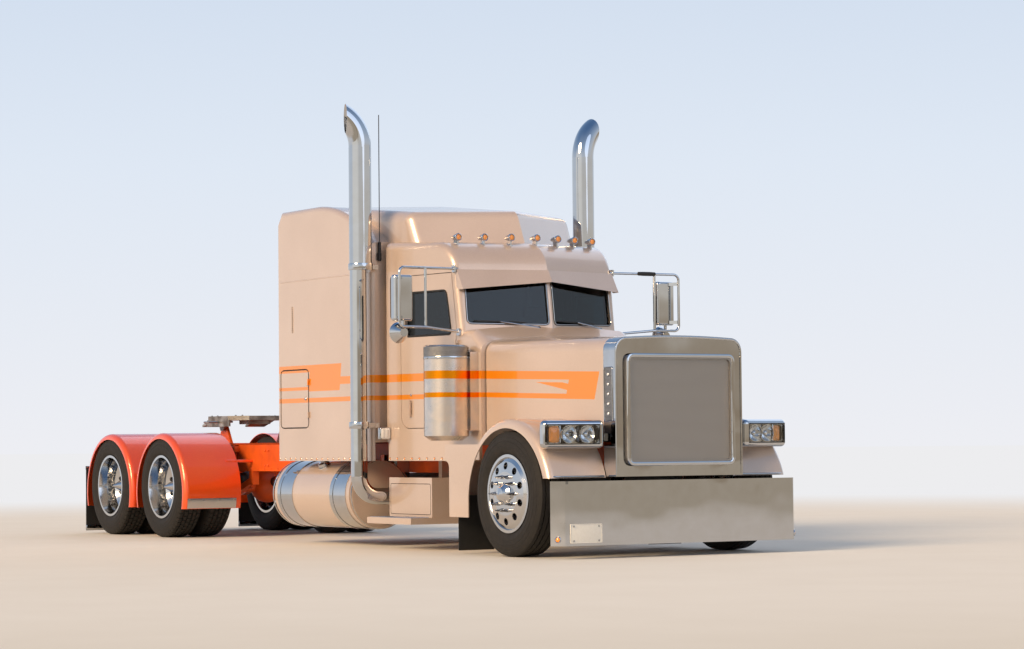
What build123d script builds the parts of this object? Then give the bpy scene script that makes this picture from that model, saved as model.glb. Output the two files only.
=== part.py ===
"""Long-nose semi truck tractor unit with a sleeper, in millimetres.

+X points forward, +Y to the truck's left and +Z up. The origin is on the ground,
under the middle of the overall length and width.
"""
import os
from math import atan2, cos, degrees, radians, sin, sqrt, tan

from build123d import *

os.makedirs("parts", exist_ok=True)

# Driving dimensions: the stations along the truck
wheelbase = 6810
drive_axle_spread = 1321
front_overhang = 840
rear_overhang = 670
overall_length = front_overhang + wheelbase + drive_axle_spread + rear_overhang
front_axle_x = overall_length / 2 - front_overhang
drive_axle_x = front_axle_x - wheelbase
last_axle_x = drive_axle_x - drive_axle_spread
frame_rear_x = last_axle_x - rear_overhang


def at(distance):
    """Model X of a station that lies this far ahead of the front axle."""
    return front_axle_x + distance


# Driving dimensions: running gaps
panel_gap = 6
seat_gap = 0.3
running_gap = 5

# Driving dimensions: tyres and wheels
tyre_radius = 521
tyre_width = 280
rim_radius = 311
flange_radius = 325
steer_tyre_y = 1053
outer_tyre_y = 1095
dual_spacing = 337
hub_bore_radius = 45
rim_half = tyre_width / 2 - 30

# Driving dimensions: the frame
rail_outer_y = 430
rail_flange = 80
rail_wall = 9.5
rail_bottom = 675
rail_top = 945
frame_front_x = at(610)

# Driving dimensions: cab
cab_front_half_width = 815
cab_rear_half_width = 960
cab_nose_x = at(-1020)
cab_rear_x = at(-2440)
cab_wall = 45
cab_floor_bottom = rail_top + 12
cab_floor_top = 1020
body_seam_z = 948
skirt_bottom_z = 788
cowl_z = 1880
screen_base_z = 1969
roof_rear_z = 2780
glass_thickness = 6

# Driving dimensions: sleeper
sleeper_front_x = at(-2510)
sleeper_rear_x = at(-4400)
sleeper_half_width = 1085
sleeper_wall = 40
sleeper_body_top = 2500
sleeper_roof_top = 3175

# Driving dimensions: hood, radiator shell and fenders
hood_front_x = at(630)
hood_rear_x = at(-1005)
shell_front_x = at(800)
shell_half_width = 635
shell_bottom_z = 658
shell_top_z = 1813
hood_rear_half_width = 770
hood_rear_top_z = 1875
hood_pivot_x = at(775)
hood_pivot_z = 690
hood_pin_radius = 9
hood_arm_radius = 13
hood_wall = 8
fender_outer_y = 1194
fender_inner_y = 640
fender_centre_z = 450
fender_radius = 690
arch_radius = 612

# Driving dimensions: steering
kingpin_y = 872
kingpin_radius = 20
steer_arm_back = 210
steer_arm_z = 400

# Driving dimensions: the doors
door_front_x = at(-1425)
door_rear_x = at(-2225)
door_bottom_z = 1081
door_top_z = 2440
door_hinge_x = at(-1416)
door_hinge_y = 838
door_hinge_heights = (1250, 1780)
hinge_barrel = 70

# Driving dimensions: exhaust and tanks
stack_x = at(-2482)
stack_y = sleeper_half_width + 116
stack_radius = 101.6
stack_top_z = 4019
tank_radius = 315
tank_y = 790
tank_z = 475
tank_front_x = at(-2870)
tank_rear_x = at(-4470)

# Driving dimensions: fifth wheel
fifth_wheel_x = drive_axle_x - 290
fifth_wheel_top = 1250
kingpin_jaw_radius = 25.6

written = {}


def write(name, part):
    """Label a finished piece and write its STEP file."""
    part.label = name
    export_step(part, f"parts/{name}.step")
    written[name] = part


def side_prism(outline, y_from, y_to):
    """Prism along Y of a side-view outline given as a face on the XZ plane."""
    return extrude(Plane.XZ.offset(-y_to) * outline, amount=y_to - y_from, mode=Mode.PRIVATE)


# Frame: two C rails with flat webs outboard, joined by channel cross-members
rail_height = rail_top - rail_bottom
rail_mid_z = (rail_top + rail_bottom) / 2
rail_inner_y = rail_outer_y - rail_flange
crossmember_stations = (
    -2050,
    -0.48 * wheelbase,
    -0.68 * wheelbase,
    -wheelbase + 860,
    -wheelbase - drive_axle_spread / 2,
    -wheelbase - drive_axle_spread - rear_overhang + 60,
)
crossmember_depth = 90
crossmember_height = 170

with BuildPart() as frame:
    with BuildSketch(Plane.YZ.offset(frame_rear_x)):
        with Locations((rail_outer_y - rail_flange / 2, rail_mid_z)):
            Rectangle(rail_flange, rail_height)
        with Locations((rail_outer_y - rail_wall - rail_flange / 2, rail_mid_z)):
            Rectangle(rail_flange, rail_height - 2 * rail_wall, mode=Mode.SUBTRACT)
    extrude(amount=frame_front_x - frame_rear_x)
    # Hood hinge arm and pin at the front of the rail
    with BuildSketch(Plane.XZ.offset(-rail_outer_y)):
        with BuildLine():
            Polyline(
                (frame_front_x - 60, rail_bottom),
                (frame_front_x - 60, rail_bottom + 80),
                (hood_pivot_x, hood_pivot_z + hood_arm_radius),
                (hood_pivot_x, hood_pivot_z - hood_arm_radius),
                close=True,
            )
        make_face()
        with Locations((hood_pivot_x, hood_pivot_z)):
            Circle(hood_arm_radius)
    extrude(amount=22)
    with BuildSketch(Plane.XZ.offset(-rail_outer_y)):
        with Locations((hood_pivot_x, hood_pivot_z)):
            Circle(hood_pin_radius)
    extrude(amount=-50)
    mirror(about=Plane.XZ)
    for station in crossmember_stations:
        with Locations((at(station), 0, rail_mid_z)):
            Box(crossmember_depth, 2 * (rail_outer_y - rail_wall), crossmember_height)
        with Locations((at(station) - rail_wall, 0, rail_mid_z)):
            Box(
                crossmember_depth,
                2 * (rail_inner_y - 2 * rail_wall),
                crossmember_height - 2 * rail_wall,
                mode=Mode.SUBTRACT,
            )
write("frame", frame.part)

# Front axle: dropped beam with kingpin eyes, on two leaf springs with hangers
beam_z = 395
beam_eye_half_height = 75
spring_y = rail_outer_y - rail_flange / 2
spring_width = 76
spring_seat_z = 500
with BuildPart() as front_axle:
    with BuildSketch(Plane.YZ.offset(front_axle_x - 40)):
        with BuildLine():
            Polyline(
                (-kingpin_y, tyre_radius - 60),
                (-kingpin_y + 90, tyre_radius - 60),
                (-spring_y - 90, beam_z - 50),
                (spring_y + 90, beam_z - 50),
                (kingpin_y - 90, tyre_radius - 60),
                (kingpin_y, tyre_radius - 60),
                (kingpin_y, tyre_radius + 45),
                (kingpin_y - 110, tyre_radius + 45),
                (spring_y + 70, beam_z + 50),
                (-spring_y - 70, beam_z + 50),
                (-kingpin_y + 110, tyre_radius + 45),
                (-kingpin_y, tyre_radius + 45),
                close=True,
            )
        make_face()
    extrude(amount=80)
    for side in (-1, 1):
        with BuildSketch(Plane.XY.offset(tyre_radius - 60)):
            with Locations((front_axle_x, side * kingpin_y)):
                Circle(42)
        extrude(amount=105)
        with BuildSketch(Plane.XY.offset(tyre_radius - 61)):
            with Locations((front_axle_x, side * kingpin_y)):
                Circle(kingpin_radius + seat_gap)
        extrude(amount=107, mode=Mode.SUBTRACT)
        # Spring seat, arched leaf pack and its two hangers
        with Locations((front_axle_x, side * spring_y, (beam_z + spring_seat_z) / 2)):
            Box(150, spring_width + 20, spring_seat_z - beam_z)
        with BuildSketch(Plane.XZ.offset(-side * spring_y)):
            with BuildLine():
                ThreePointArc((at(-760), 600), (at(0), spring_seat_z), (at(560), 560))
                Line((at(560), 560), (at(560), 605))
                ThreePointArc((at(560), 605), (at(0), spring_seat_z + 50), (at(-760), 645))
                Line((at(-760), 645), (at(-760), 600))
            make_face()
        extrude(amount=spring_width / 2, both=True)
        for hanger_x, hanger_low in ((at(-730), 620), (at(530), 580)):
            with Locations((hanger_x, side * spring_y, (hanger_low + rail_bottom) / 2)):
                Box(70, spring_width, rail_bottom - hanger_low)
write("front_axle", front_axle.part)

# Knuckles: yoke round the axle end, spindle, steering arm to the tie rod
spindle_radius = hub_bore_radius
yoke_gap = running_gap
yoke_thickness = 45
yoke_low = tyre_radius - 60 - yoke_gap
yoke_high = tyre_radius + 45 + yoke_gap
spindle_end_y = steer_tyre_y + 60
with BuildPart() as knuckle_left:
    for low in (yoke_low - yoke_thickness, yoke_high):
        with BuildSketch(Plane.XY.offset(low)):
            with Locations((front_axle_x, kingpin_y)):
                Circle(42)
            with Locations((front_axle_x, kingpin_y + 38)):
                Rectangle(80, 76)
        extrude(amount=yoke_thickness)
    with BuildSketch(Plane.XY.offset(yoke_low - yoke_thickness)):
        with Locations((front_axle_x, kingpin_y)):
            Circle(kingpin_radius)
    extrude(amount=yoke_high - yoke_low + 2 * yoke_thickness)
    with Locations((front_axle_x, kingpin_y + 62, (yoke_low + yoke_high) / 2)):
        Box(90, 30, yoke_high - yoke_low + 2 * yoke_thickness)
    with BuildSketch(Plane.XZ.offset(-kingpin_y - 60)):
        with Locations((front_axle_x, tyre_radius)):
            Circle(spindle_radius)
    extrude(amount=-(spindle_end_y - kingpin_y - 60))
    # Steering arm runs straight back to the tie rod's pin
    with BuildSketch(Plane.XY.offset(steer_arm_z - 15)):
        with BuildLine():
            Polyline(
                (front_axle_x + 30, kingpin_y - 28),
                (front_axle_x + 30, kingpin_y + 28),
                (front_axle_x - steer_arm_back, kingpin_y + 22),
                (front_axle_x - steer_arm_back, kingpin_y - 22),
                close=True,
            )
        make_face()
        with Locations((front_axle_x - steer_arm_back, kingpin_y)):
            Circle(24)
    extrude(amount=30)
    with BuildSketch(Plane.XY.offset(steer_arm_z - 15)):
        with Locations((front_axle_x - steer_arm_back, kingpin_y)):
            Circle(12 + seat_gap)
    extrude(amount=30, mode=Mode.SUBTRACT)
    with Locations((front_axle_x, kingpin_y, (steer_arm_z + yoke_low - yoke_thickness) / 2)):
        Box(50, 50, yoke_low - yoke_thickness - steer_arm_z + 20)
write("knuckle_left", knuckle_left.part)
with BuildPart() as knuckle_right:
    add(mirror(knuckle_left.part, about=Plane.XZ))
write("knuckle_right", knuckle_right.part)

# Tie rod: a tube between two pins that stand in the steering arms
tie_rod_x = front_axle_x - steer_arm_back
tie_rod_z = steer_arm_z - 15 - running_gap - 18
with BuildPart() as tie_rod:
    with BuildSketch(Plane.XZ.offset(-kingpin_y)):
        with Locations((tie_rod_x, tie_rod_z)):
            Circle(18)
    extrude(amount=2 * kingpin_y)
    for side in (-1, 1):
        with BuildSketch(Plane.XY.offset(tie_rod_z - 20)):
            with Locations((tie_rod_x, side * kingpin_y)):
                Circle(24)
        extrude(amount=38)
        with BuildSketch(Plane.XY.offset(tie_rod_z)):
            with Locations((tie_rod_x, side * kingpin_y)):
                Circle(12)
        extrude(amount=steer_arm_z + 14 - tie_rod_z)
write("tie_rod", tie_rod.part)


def tyre_form(centre_y):
    """One tyre about the Y axis: bead, bulged sidewall, round shoulder and flat tread."""
    half = tyre_width / 2
    tread_half = half - 26
    with BuildPart() as tyre:
        with BuildSketch(Plane.YZ) as section:
            with BuildLine():
                for side in (1, -1):
                    ThreePointArc(
                        (centre_y + side * tread_half, tyre_radius - 6),
                        (centre_y + side * (half - 7), tyre_radius - 32),
                        (centre_y + side * (half - 8), tyre_radius - 60),
                    )
                    ThreePointArc(
                        (centre_y + side * (half - 8), tyre_radius - 60),
                        (centre_y + side * half, (tyre_radius + rim_radius) / 2),
                        (centre_y + side * rim_half, flange_radius + 2),
                    )
                    Line(
                        (centre_y + side * rim_half, flange_radius + 2),
                        (centre_y + side * rim_half, rim_radius + seat_gap),
                    )
                ThreePointArc(
                    (centre_y - tread_half, tyre_radius - 6),
                    (centre_y, tyre_radius),
                    (centre_y + tread_half, tyre_radius - 6),
                )
                Line(
                    (centre_y + rim_half, rim_radius + seat_gap),
                    (centre_y - rim_half, rim_radius + seat_gap),
                )
            make_face()
        revolve(axis=Axis.Y)
    return tyre.part


# A front wheel: rim with flanges, convex disc with hand holes, hub and lug-nut covers
hand_hole_count = 10
hand_hole_circle = 222
lug_circle = 142.9
spike_length = 75
spike_radius = 17


def wheel_places(centre_y, radius, count, offset=0.0):
    """Locations round a wheel's axis, each with its own Z pointing outboard."""
    places = []
    for step in range(count):
        turn = radians(360 / count * step) + offset
        point = (radius * cos(turn), centre_y, radius * sin(turn))
        places.append(Location(Plane(origin=point, x_dir=(cos(turn), 0, sin(turn)), z_dir=(0, 1, 0))))
    return places


def rim_ring(centre_y):
    """Points of one rim's section: drop centre between two flanges."""
    return (
        (centre_y - rim_half - 14, flange_radius),
        (centre_y - rim_half - 1, flange_radius),
        (centre_y - rim_half - 1, rim_radius),
        (centre_y + rim_half + 1, rim_radius),
        (centre_y + rim_half + 1, flange_radius),
        (centre_y + rim_half + 14, flange_radius),
        (centre_y + rim_half + 14, rim_radius - 10),
        (centre_y + 40, rim_radius - 30),
        (centre_y - 40, rim_radius - 30),
        (centre_y - rim_half - 14, rim_radius - 10),
    )


def front_wheel_form(centre_y):
    """Disc wheel whose face stands proud of the rim, with a hub bore from behind."""
    face_y = centre_y + 150
    bore = hub_bore_radius + seat_gap
    with BuildPart() as wheel:
        with BuildSketch(Plane.YZ):
            Polygon(*rim_ring(centre_y), align=None)
        revolve(axis=Axis.Y)
        # Disc from the rim to the raised bolting face
        with BuildSketch(Plane.YZ):
            Polygon(
                (centre_y + 78, rim_radius - 15),
                (centre_y + 112, rim_radius - 8),
                (face_y - 14, hand_hole_circle + 44),
                (face_y, hand_hole_circle - 40),
                (face_y, 0),
                (face_y - 26, 0),
                (face_y - 26, hand_hole_circle - 44),
                (face_y - 38, hand_hole_circle + 40),
            align=None)
        revolve(axis=Axis.Y)
        with Locations(*wheel_places(face_y - 80, hand_hole_circle + 8, hand_hole_count, 0.314)):
            Cylinder(30, 200, mode=Mode.SUBTRACT)
        # Hub and drum behind the disc, bored for the spindle
        with BuildSketch(Plane.YZ):
            Polygon(
                (face_y - 26, 0),
                (face_y - 26, 130),
                (centre_y + 20, 120),
                (centre_y + 20, 205),
                (centre_y - 90, 205),
                (centre_y - 90, 190),
                (centre_y, 190),
                (centre_y, 100),
                (centre_y - 75, 70),
                (centre_y - 75, bore),
                (centre_y + 70, bore),
                (centre_y + 70, 0),
            align=None)
        revolve(axis=Axis.Y)
        # Hub cap and spiked lug-nut covers
        with BuildSketch(Plane.YZ):
            Polygon(
                (face_y - 1, 0), (face_y - 1, 92), (face_y + 8, 92),
                (face_y + 30, 70), (face_y + 55, 52), (face_y + 68, 0),
            align=None)
        revolve(axis=Axis.Y)
        with Locations(*wheel_places(face_y + spike_length / 2 - 1, lug_circle, 10)):
            Cone(spike_radius, 4, spike_length)
    return wheel.part


def drive_wheel_form(outer_y, inner_y):
    """Twin rims back to back, a dished outer disc with a pointed cover, and the drum."""
    disc_y = (outer_y + inner_y) / 2
    bore = hub_bore_radius + seat_gap
    with BuildPart() as wheel:
        for centre_y in (outer_y, inner_y):
            with BuildSketch(Plane.YZ):
                Polygon(*rim_ring(centre_y), align=None)
            revolve(axis=Axis.Y)
        # Two discs meet at the mid plane between the tyres
        with BuildSketch(Plane.YZ):
            Polygon(
                (outer_y - 50, rim_radius - 20),
                (outer_y - 84, rim_radius - 12),
                (disc_y + 26, hand_hole_circle + 40),
                (disc_y, hand_hole_circle - 20),
                (disc_y - 26, hand_hole_circle + 40),
                (inner_y + 84, rim_radius - 12),
                (inner_y + 50, rim_radius - 20),
                (disc_y - 46, hand_hole_circle - 20),
                (disc_y - 24, hand_hole_circle - 50),
                (disc_y - 24, 0),
                (disc_y + 24, 0),
                (disc_y + 24, hand_hole_circle - 50),
                (disc_y + 46, hand_hole_circle - 20),
            align=None)
        revolve(axis=Axis.Y)
        with Locations(*wheel_places(disc_y, hand_hole_circle + 2, hand_hole_count, 0.314)):
            Cylinder(28, 200, mode=Mode.SUBTRACT)
        # Hub, brake drum and the pointed cover that stands out of the dish
        with BuildSketch(Plane.YZ):
            Polygon(
                (disc_y - 20, 0),
                (disc_y - 20, 200),
                (inner_y - 60, 208),
                (inner_y - 60, 192),
                (disc_y - 60, 184),
                (disc_y - 60, 90),
                (inner_y - 50, 80),
                (inner_y - 50, bore),
                (disc_y - 30, bore),
                (disc_y - 30, 0),
            align=None)
        revolve(axis=Axis.Y)
        with BuildSketch(Plane.YZ):
            Polygon(
                (disc_y + 20, 0), (disc_y + 20, 112), (disc_y + 120, 104),
                (disc_y + 150, 70), (disc_y + 255, 8), (disc_y + 258, 0),
            align=None)
        revolve(axis=Axis.Y)
        with Locations(*wheel_places(disc_y + 24 + spike_length / 2 - 1, lug_circle, 10)):
            Cone(spike_radius, 4, spike_length)
    return wheel.part


# The steered pair and the two drive axles, each side a mirror of the other
front_tyre_left = Pos(front_axle_x, 0, tyre_radius) * tyre_form(steer_tyre_y)
write("tyre_front_left", front_tyre_left)
write("tyre_front_right", mirror(front_tyre_left, about=Plane.XZ))
front_wheel_left = Pos(front_axle_x, 0, tyre_radius) * front_wheel_form(steer_tyre_y)
write("wheel_front_left", front_wheel_left)
write("wheel_front_right", mirror(front_wheel_left, about=Plane.XZ))
inner_tyre_y = outer_tyre_y - dual_spacing
outer_tyre = tyre_form(outer_tyre_y)
inner_tyre = tyre_form(inner_tyre_y)
twin_wheel = drive_wheel_form(outer_tyre_y, inner_tyre_y)
for axle_name, axle_x in (("drive", drive_axle_x), ("rear", last_axle_x)):
    place = Pos(axle_x, 0, tyre_radius)
    pair = Compound(children=[place * outer_tyre, place * inner_tyre])
    write(f"tyres_{axle_name}_left", pair)
    mirrored = Compound(children=[
        mirror(place * outer_tyre, about=Plane.XZ),
        mirror(place * inner_tyre, about=Plane.XZ),
    ])
    write(f"tyres_{axle_name}_right", mirrored)
    write(f"wheels_{axle_name}_left", place * twin_wheel)
    write(f"wheels_{axle_name}_right", mirror(place * twin_wheel, about=Plane.XZ))

# Rear axles: housing, spindles, trailing arms with air springs up to the rails
spindle_root_y = inner_tyre_y - 120
rear_spindle_end = (outer_tyre_y + inner_tyre_y) / 2 - 40
arm_front = 480
arm_back = 400
air_spring_radius = 120
housing_radius = 185
with BuildPart() as rear_axles:
    for axle_x in (drive_axle_x, last_axle_x):
        with BuildSketch(Plane.XZ.offset(-spindle_root_y)):
            with Locations((axle_x, tyre_radius)):
                Circle(72)
        extrude(amount=2 * spindle_root_y)
        with BuildSketch(Plane.XZ.offset(-rear_spindle_end)):
            with Locations((axle_x, tyre_radius)):
                Circle(spindle_radius)
        extrude(amount=2 * rear_spindle_end)
        with Locations((axle_x, 0, tyre_radius)):
            Sphere(housing_radius)
        for side in (-1, 1):
            arm_y = side * spring_y
            with BuildSketch(Plane.XZ.offset(-arm_y)):
                with BuildLine():
                    Polyline(
                        (axle_x + arm_front, rail_bottom - 60),
                        (axle_x + arm_front, rail_bottom - 130),
                        (axle_x, tyre_radius - 120),
                        (axle_x - arm_back, tyre_radius - 150),
                        (axle_x - arm_back, tyre_radius - 110),
                        (axle_x, tyre_radius - 60),
                        close=True,
                    )
                make_face()
            extrude(amount=35, both=True)
            with Locations((axle_x + arm_front, arm_y, (rail_bottom - 140 + rail_bottom) / 2)):
                Box(90, 70, 140)
            spring_low = tyre_radius - 118
            with BuildSketch(Plane.XY.offset(spring_low)):
                with Locations((axle_x - 280, arm_y)):
                    Circle(air_spring_radius)
            extrude(amount=rail_bottom - spring_low)
write("rear_axles", rear_axles.part)

# Engine: one plain block with its gearbox, carried by feet on the rails
engine_half_width = 330
engine_front_x = at(350)
engine_rear_x = at(-930)
engine_top_z = 1450
engine_bottom_z = 570
gearbox_rear_x = at(-1900)
with BuildPart() as engine:
    with Locations(((engine_front_x + engine_rear_x) / 2, 0, (engine_top_z + engine_bottom_z) / 2)):
        Box(engine_front_x - engine_rear_x, 2 * engine_half_width, engine_top_z - engine_bottom_z)
    with BuildSketch(Plane.YZ.offset(gearbox_rear_x)):
        with Locations((0, 720)):
            Circle(190)
    extrude(amount=engine_rear_x - gearbox_rear_x + 10)
    for foot_x in (at(150), at(-780)):
        with Locations((foot_x, 0, rail_top + 25)):
            Box(110, 2 * (rail_outer_y - 10), 50)
write("engine", engine.part)

# Drive shafts: gearbox to the first axle, and first axle to the second
shaft_radius = 55
with BuildPart() as driveshafts:
    main_start = (gearbox_rear_x - seat_gap, 640)
    main_end = (drive_axle_x + housing_radius + seat_gap, 560)
    with BuildSketch(Plane(origin=(main_start[0], 0, main_start[1]), z_dir=(-1, 0, 0))):
        Circle(shaft_radius)
    with BuildSketch(Plane(origin=(main_end[0], 0, main_end[1]), z_dir=(-1, 0, 0))):
        Circle(shaft_radius)
    loft()
    with BuildSketch(Plane.YZ.offset(last_axle_x + housing_radius + seat_gap)):
        with Locations((0, tyre_radius + 5)):
            Circle(shaft_radius)
    extrude(amount=drive_axle_spread - 2 * (housing_radius + seat_gap))
write("driveshafts", driveshafts.part)

# Radiator: a plain core that stands on the rails behind the grille
radiator_top = 1640
with BuildPart() as radiator:
    with Locations((at(520), 0, (rail_top + seat_gap + radiator_top) / 2)):
        Box(110, 1000, radiator_top - rail_top - seat_gap)
write("radiator", radiator.part)

# Bumper: deep flat plate with swept ends, a top lip and two brackets to the rails
bumper_face_x = at(front_overhang - 20)
bumper_low = 108
bumper_high = 628
bumper_wall = 6
bumper_flat_half = 1140
bumper_end_x = at(725)
bumper_end_y = 1220
with BuildPart() as bumper:
    with BuildSketch(Plane.XY.offset(bumper_low)):
        with BuildLine():
            Polyline(
                (bumper_end_x, -bumper_end_y),
                (bumper_face_x, -bumper_flat_half),
                (bumper_face_x, bumper_flat_half),
                (bumper_end_x, bumper_end_y),
                (bumper_end_x, bumper_end_y - 10),
                (bumper_face_x - bumper_wall, bumper_flat_half - 5),
                (bumper_face_x - bumper_wall, -bumper_flat_half + 5),
                (bumper_end_x, -bumper_end_y + 10),
                close=True,
            )
        make_face()
    extrude(amount=bumper_high - bumper_low)
    with Locations((bumper_face_x, 0, bumper_high - 12)):
        Box(40, 2 * bumper_flat_half - 40, 24)
    for side in (-1, 1):
        with BuildSketch(Plane.XZ.offset(-side * (rail_outer_y + 9 + seat_gap))):
            with BuildLine():
                Polyline(
                    (frame_front_x - 200, rail_bottom + 20),
                    (frame_front_x - 200, rail_bottom + 120),
                    (frame_front_x - 20, rail_bottom + 120),
                    (frame_front_x + 20, bumper_high - 20),
                    (bumper_face_x - 2, bumper_high - 20),
                    (bumper_face_x - 2, bumper_low + 150),
                    (frame_front_x + 60, bumper_low + 150),
                    close=True,
                )
            make_face()
        extrude(amount=9, both=True)
write("bumper", bumper.part)

# Radiator shell: bright surround of the grille, open at front and back
shell_depth = shell_front_x - hood_front_x
shell_corner = 110
grille_half_width = 527
grille_low = 756
grille_high = 1650
shell_mid_z = (shell_top_z + shell_bottom_z) / 2
shell_height = shell_top_z - shell_bottom_z


def shell_outline(inset):
    """Front outline of the shell: square at the foot, round at the top corners."""
    half = shell_half_width - inset
    top = shell_top_z - inset
    shoulder = shell_top_z - 24 - inset
    with BuildSketch(Plane.YZ.offset(hood_front_x)) as sketch:
        with BuildLine():
            Polyline(
                (-half, shoulder), (-half, shell_bottom_z + inset),
                (half, shell_bottom_z + inset), (half, shoulder),
            )
            ThreePointArc((half, shoulder), (0, top), (-half, shoulder))
        make_face()
        corners = sketch.vertices().group_by(Axis.Y)[-1]
        fillet(corners, shell_corner - inset)
    return sketch.sketch


opening_half_width = grille_half_width - 25
opening_low = grille_low + 25
opening_high = grille_high - 25
opening_mid_z = (opening_low + opening_high) / 2
shell_sheet = 6
shell_blank = extrude(shell_outline(0), amount=shell_depth)
shell_pocket = extrude(shell_outline(shell_sheet), amount=shell_depth - shell_sheet)
shell_core = Pos(at(715), 0, opening_mid_z) * Box(
    400, 2 * (opening_half_width + shell_sheet), opening_high - opening_low + 2 * shell_sheet
)
ear_y = rail_outer_y + 34
with BuildPart() as radiator_shell:
    add(shell_blank)
    with Locations((at(715), 0, opening_mid_z)):
        Box(400, 2 * opening_half_width, opening_high - opening_low, mode=Mode.SUBTRACT)
    # Hollow behind the front face: a sheet wall all round
    add(shell_pocket - shell_core, mode=Mode.SUBTRACT)
    # Side louvre opening, hinge ears round the pivot pins and slots for the frame's arms
    for side in (-1, 1):
        with Locations((at(702), side * shell_half_width, 1330)):
            Box(110, 60, 440, mode=Mode.SUBTRACT)
        with Locations(((hood_front_x + shell_front_x) / 2 - shell_sheet, side * ear_y - side * 15, shell_bottom_z)):
            Box(shell_depth, 110, 30, mode=Mode.SUBTRACT)
        with BuildSketch(Plane.XZ.offset(-side * ear_y)):
            with Locations((hood_pivot_x, (hood_pivot_z - 14 + opening_low - 2) / 2)):
                Rectangle(30, opening_low - 2 - hood_pivot_z + 14)
            with Locations((hood_pivot_x, hood_pivot_z)):
                Circle(hood_pin_radius + seat_gap, mode=Mode.SUBTRACT)
        extrude(amount=6, both=True)
write("radiator_shell", radiator_shell.part)

# Grille: framed insert in front of the shell
with BuildPart() as grille:
    with BuildSketch(Plane.YZ.offset(shell_front_x + seat_gap)):
        with Locations((0, (grille_low + grille_high) / 2)):
            RectangleRounded(2 * grille_half_width, grille_high - grille_low, 60)
    extrude(amount=30)
    with BuildSketch(Plane.YZ.offset(shell_front_x + 14)):
        with Locations((0, (grille_low + grille_high) / 2)):
            RectangleRounded(2 * grille_half_width - 64, grille_high - grille_low - 64, 36)
    extrude(amount=30, mode=Mode.SUBTRACT)
write("grille", grille.part)


def crown_section(x, half_width, top_z, edge_z, corner, foot_z):
    """Cross-section with upright sides, round shoulders and a low crown."""
    with BuildSketch(Plane.YZ.offset(x)) as sketch:
        with BuildLine():
            Polyline((-half_width, edge_z), (-half_width, foot_z), (half_width, foot_z), (half_width, edge_z))
            ThreePointArc((half_width, edge_z), (0, top_z), (-half_width, edge_z))
        make_face()
        corners = sketch.vertices().group_by(Axis.Y)[-1]
        fillet(corners, corner)
    return sketch.sketch


# Hood: two-section loft over the engine, hollow and open below and behind
fender_foot_z = 960
hood_top_front = shell_top_z - 4
hood_front_half = shell_half_width - 3


def hood_form(inset, reach):
    """Loft from the radiator shell to the cowl, moved in by the inset and lengthened by the reach."""
    front = crown_section(
        hood_front_x - seat_gap + reach, hood_front_half - inset, hood_top_front - inset,
        hood_top_front - 24 - inset, 108 - inset, fender_foot_z - 3 * inset,
    )
    rear = crown_section(
        hood_rear_x - reach, hood_rear_half_width - inset, hood_rear_top_z - inset,
        hood_rear_top_z - 65 - inset, 112 - inset, fender_foot_z - 3 * inset,
    )
    return loft([front, rear])


hood_outer = hood_form(0, 0)
hood_inner = hood_form(hood_wall, 5)
with BuildPart() as hood:
    add(hood_outer)
    add(hood_inner, mode=Mode.SUBTRACT)
    with Locations((at(-200), 0, fender_foot_z)):
        Box(3000, 2 * shell_half_width - 30, 20, mode=Mode.SUBTRACT)
write("hood", hood.part)

# Front fenders: arched panels with a rolled lip, and the leg behind the wheel
leg_rear_x = at(-930)
leg_bottom_z = 315
fender_front_z = 650
fender_sheet = 8
fender_edge = 60
wing_rear_x = at(-1000)
wing_low_z = 790
wing_top_z = 930
wing_corner = 60


def fender_side(radius, rear_x, low, wing_low, wing_top):
    """Side view of the fender with its leg and the wing that runs back above the leg."""
    with BuildSketch() as sketch:
        with Locations((front_axle_x, fender_centre_z)):
            Circle(radius)
        with Locations(((rear_x + at(-300)) / 2, (low + wing_low) / 2 + 60)):
            Rectangle(at(-300) - rear_x, wing_low - low + 120)
        with Locations(((wing_rear_x + at(-300)) / 2, (wing_low + wing_top) / 2)):
            Rectangle(at(-300) - wing_rear_x, wing_top - wing_low)
        inner_corner = sketch.vertices().sort_by_distance((rear_x, wing_low))[0]
        fillet(inner_corner, wing_corner)
        with Locations((at(0), low - 500)):
            Rectangle(3000, 1000, mode=Mode.SUBTRACT)
        with Locations((at(500), fender_front_z - 500)):
            Rectangle(1000, 1000, mode=Mode.SUBTRACT)
    return sketch.sketch


def round_arch(form, outer_y, radius):
    """Round the outboard edge of a fender form along its arch."""
    return form.fillet(radius, [
        edge for edge in form.edges()
        if edge.center().Y > outer_y - 1 and edge.geom_type == GeomType.CIRCLE and edge.center().Z > wing_top_z
    ])


arch_skin = round_arch(
    side_prism(
        fender_side(fender_radius, leg_rear_x, leg_bottom_z, wing_low_z, wing_top_z),
        fender_inner_y, fender_outer_y,
    ),
    fender_outer_y, fender_edge,
)
arch_space = round_arch(
    side_prism(
        fender_side(
            fender_radius - fender_sheet, leg_rear_x + fender_sheet, leg_bottom_z - 5,
            wing_low_z + fender_sheet, wing_top_z - fender_sheet,
        ),
        fender_inner_y - 1, fender_outer_y - fender_sheet,
    ),
    fender_outer_y - fender_sheet, fender_edge - fender_sheet,
)
with BuildPart() as front_fenders:
    add(arch_skin)
    add(arch_space, mode=Mode.SUBTRACT)
    with BuildSketch(Plane.XZ.offset(-fender_inner_y)):
        with Locations((front_axle_x, fender_centre_z)):
            Circle(arch_radius)
        with Locations((front_axle_x, 0)):
            Rectangle(2 * arch_radius, 2 * fender_centre_z)
    extrude(amount=-700, mode=Mode.SUBTRACT)
    add(hood_outer, mode=Mode.SUBTRACT)
    mirror(about=Plane.XZ)
write("front_fenders", front_fenders.part)


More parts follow.
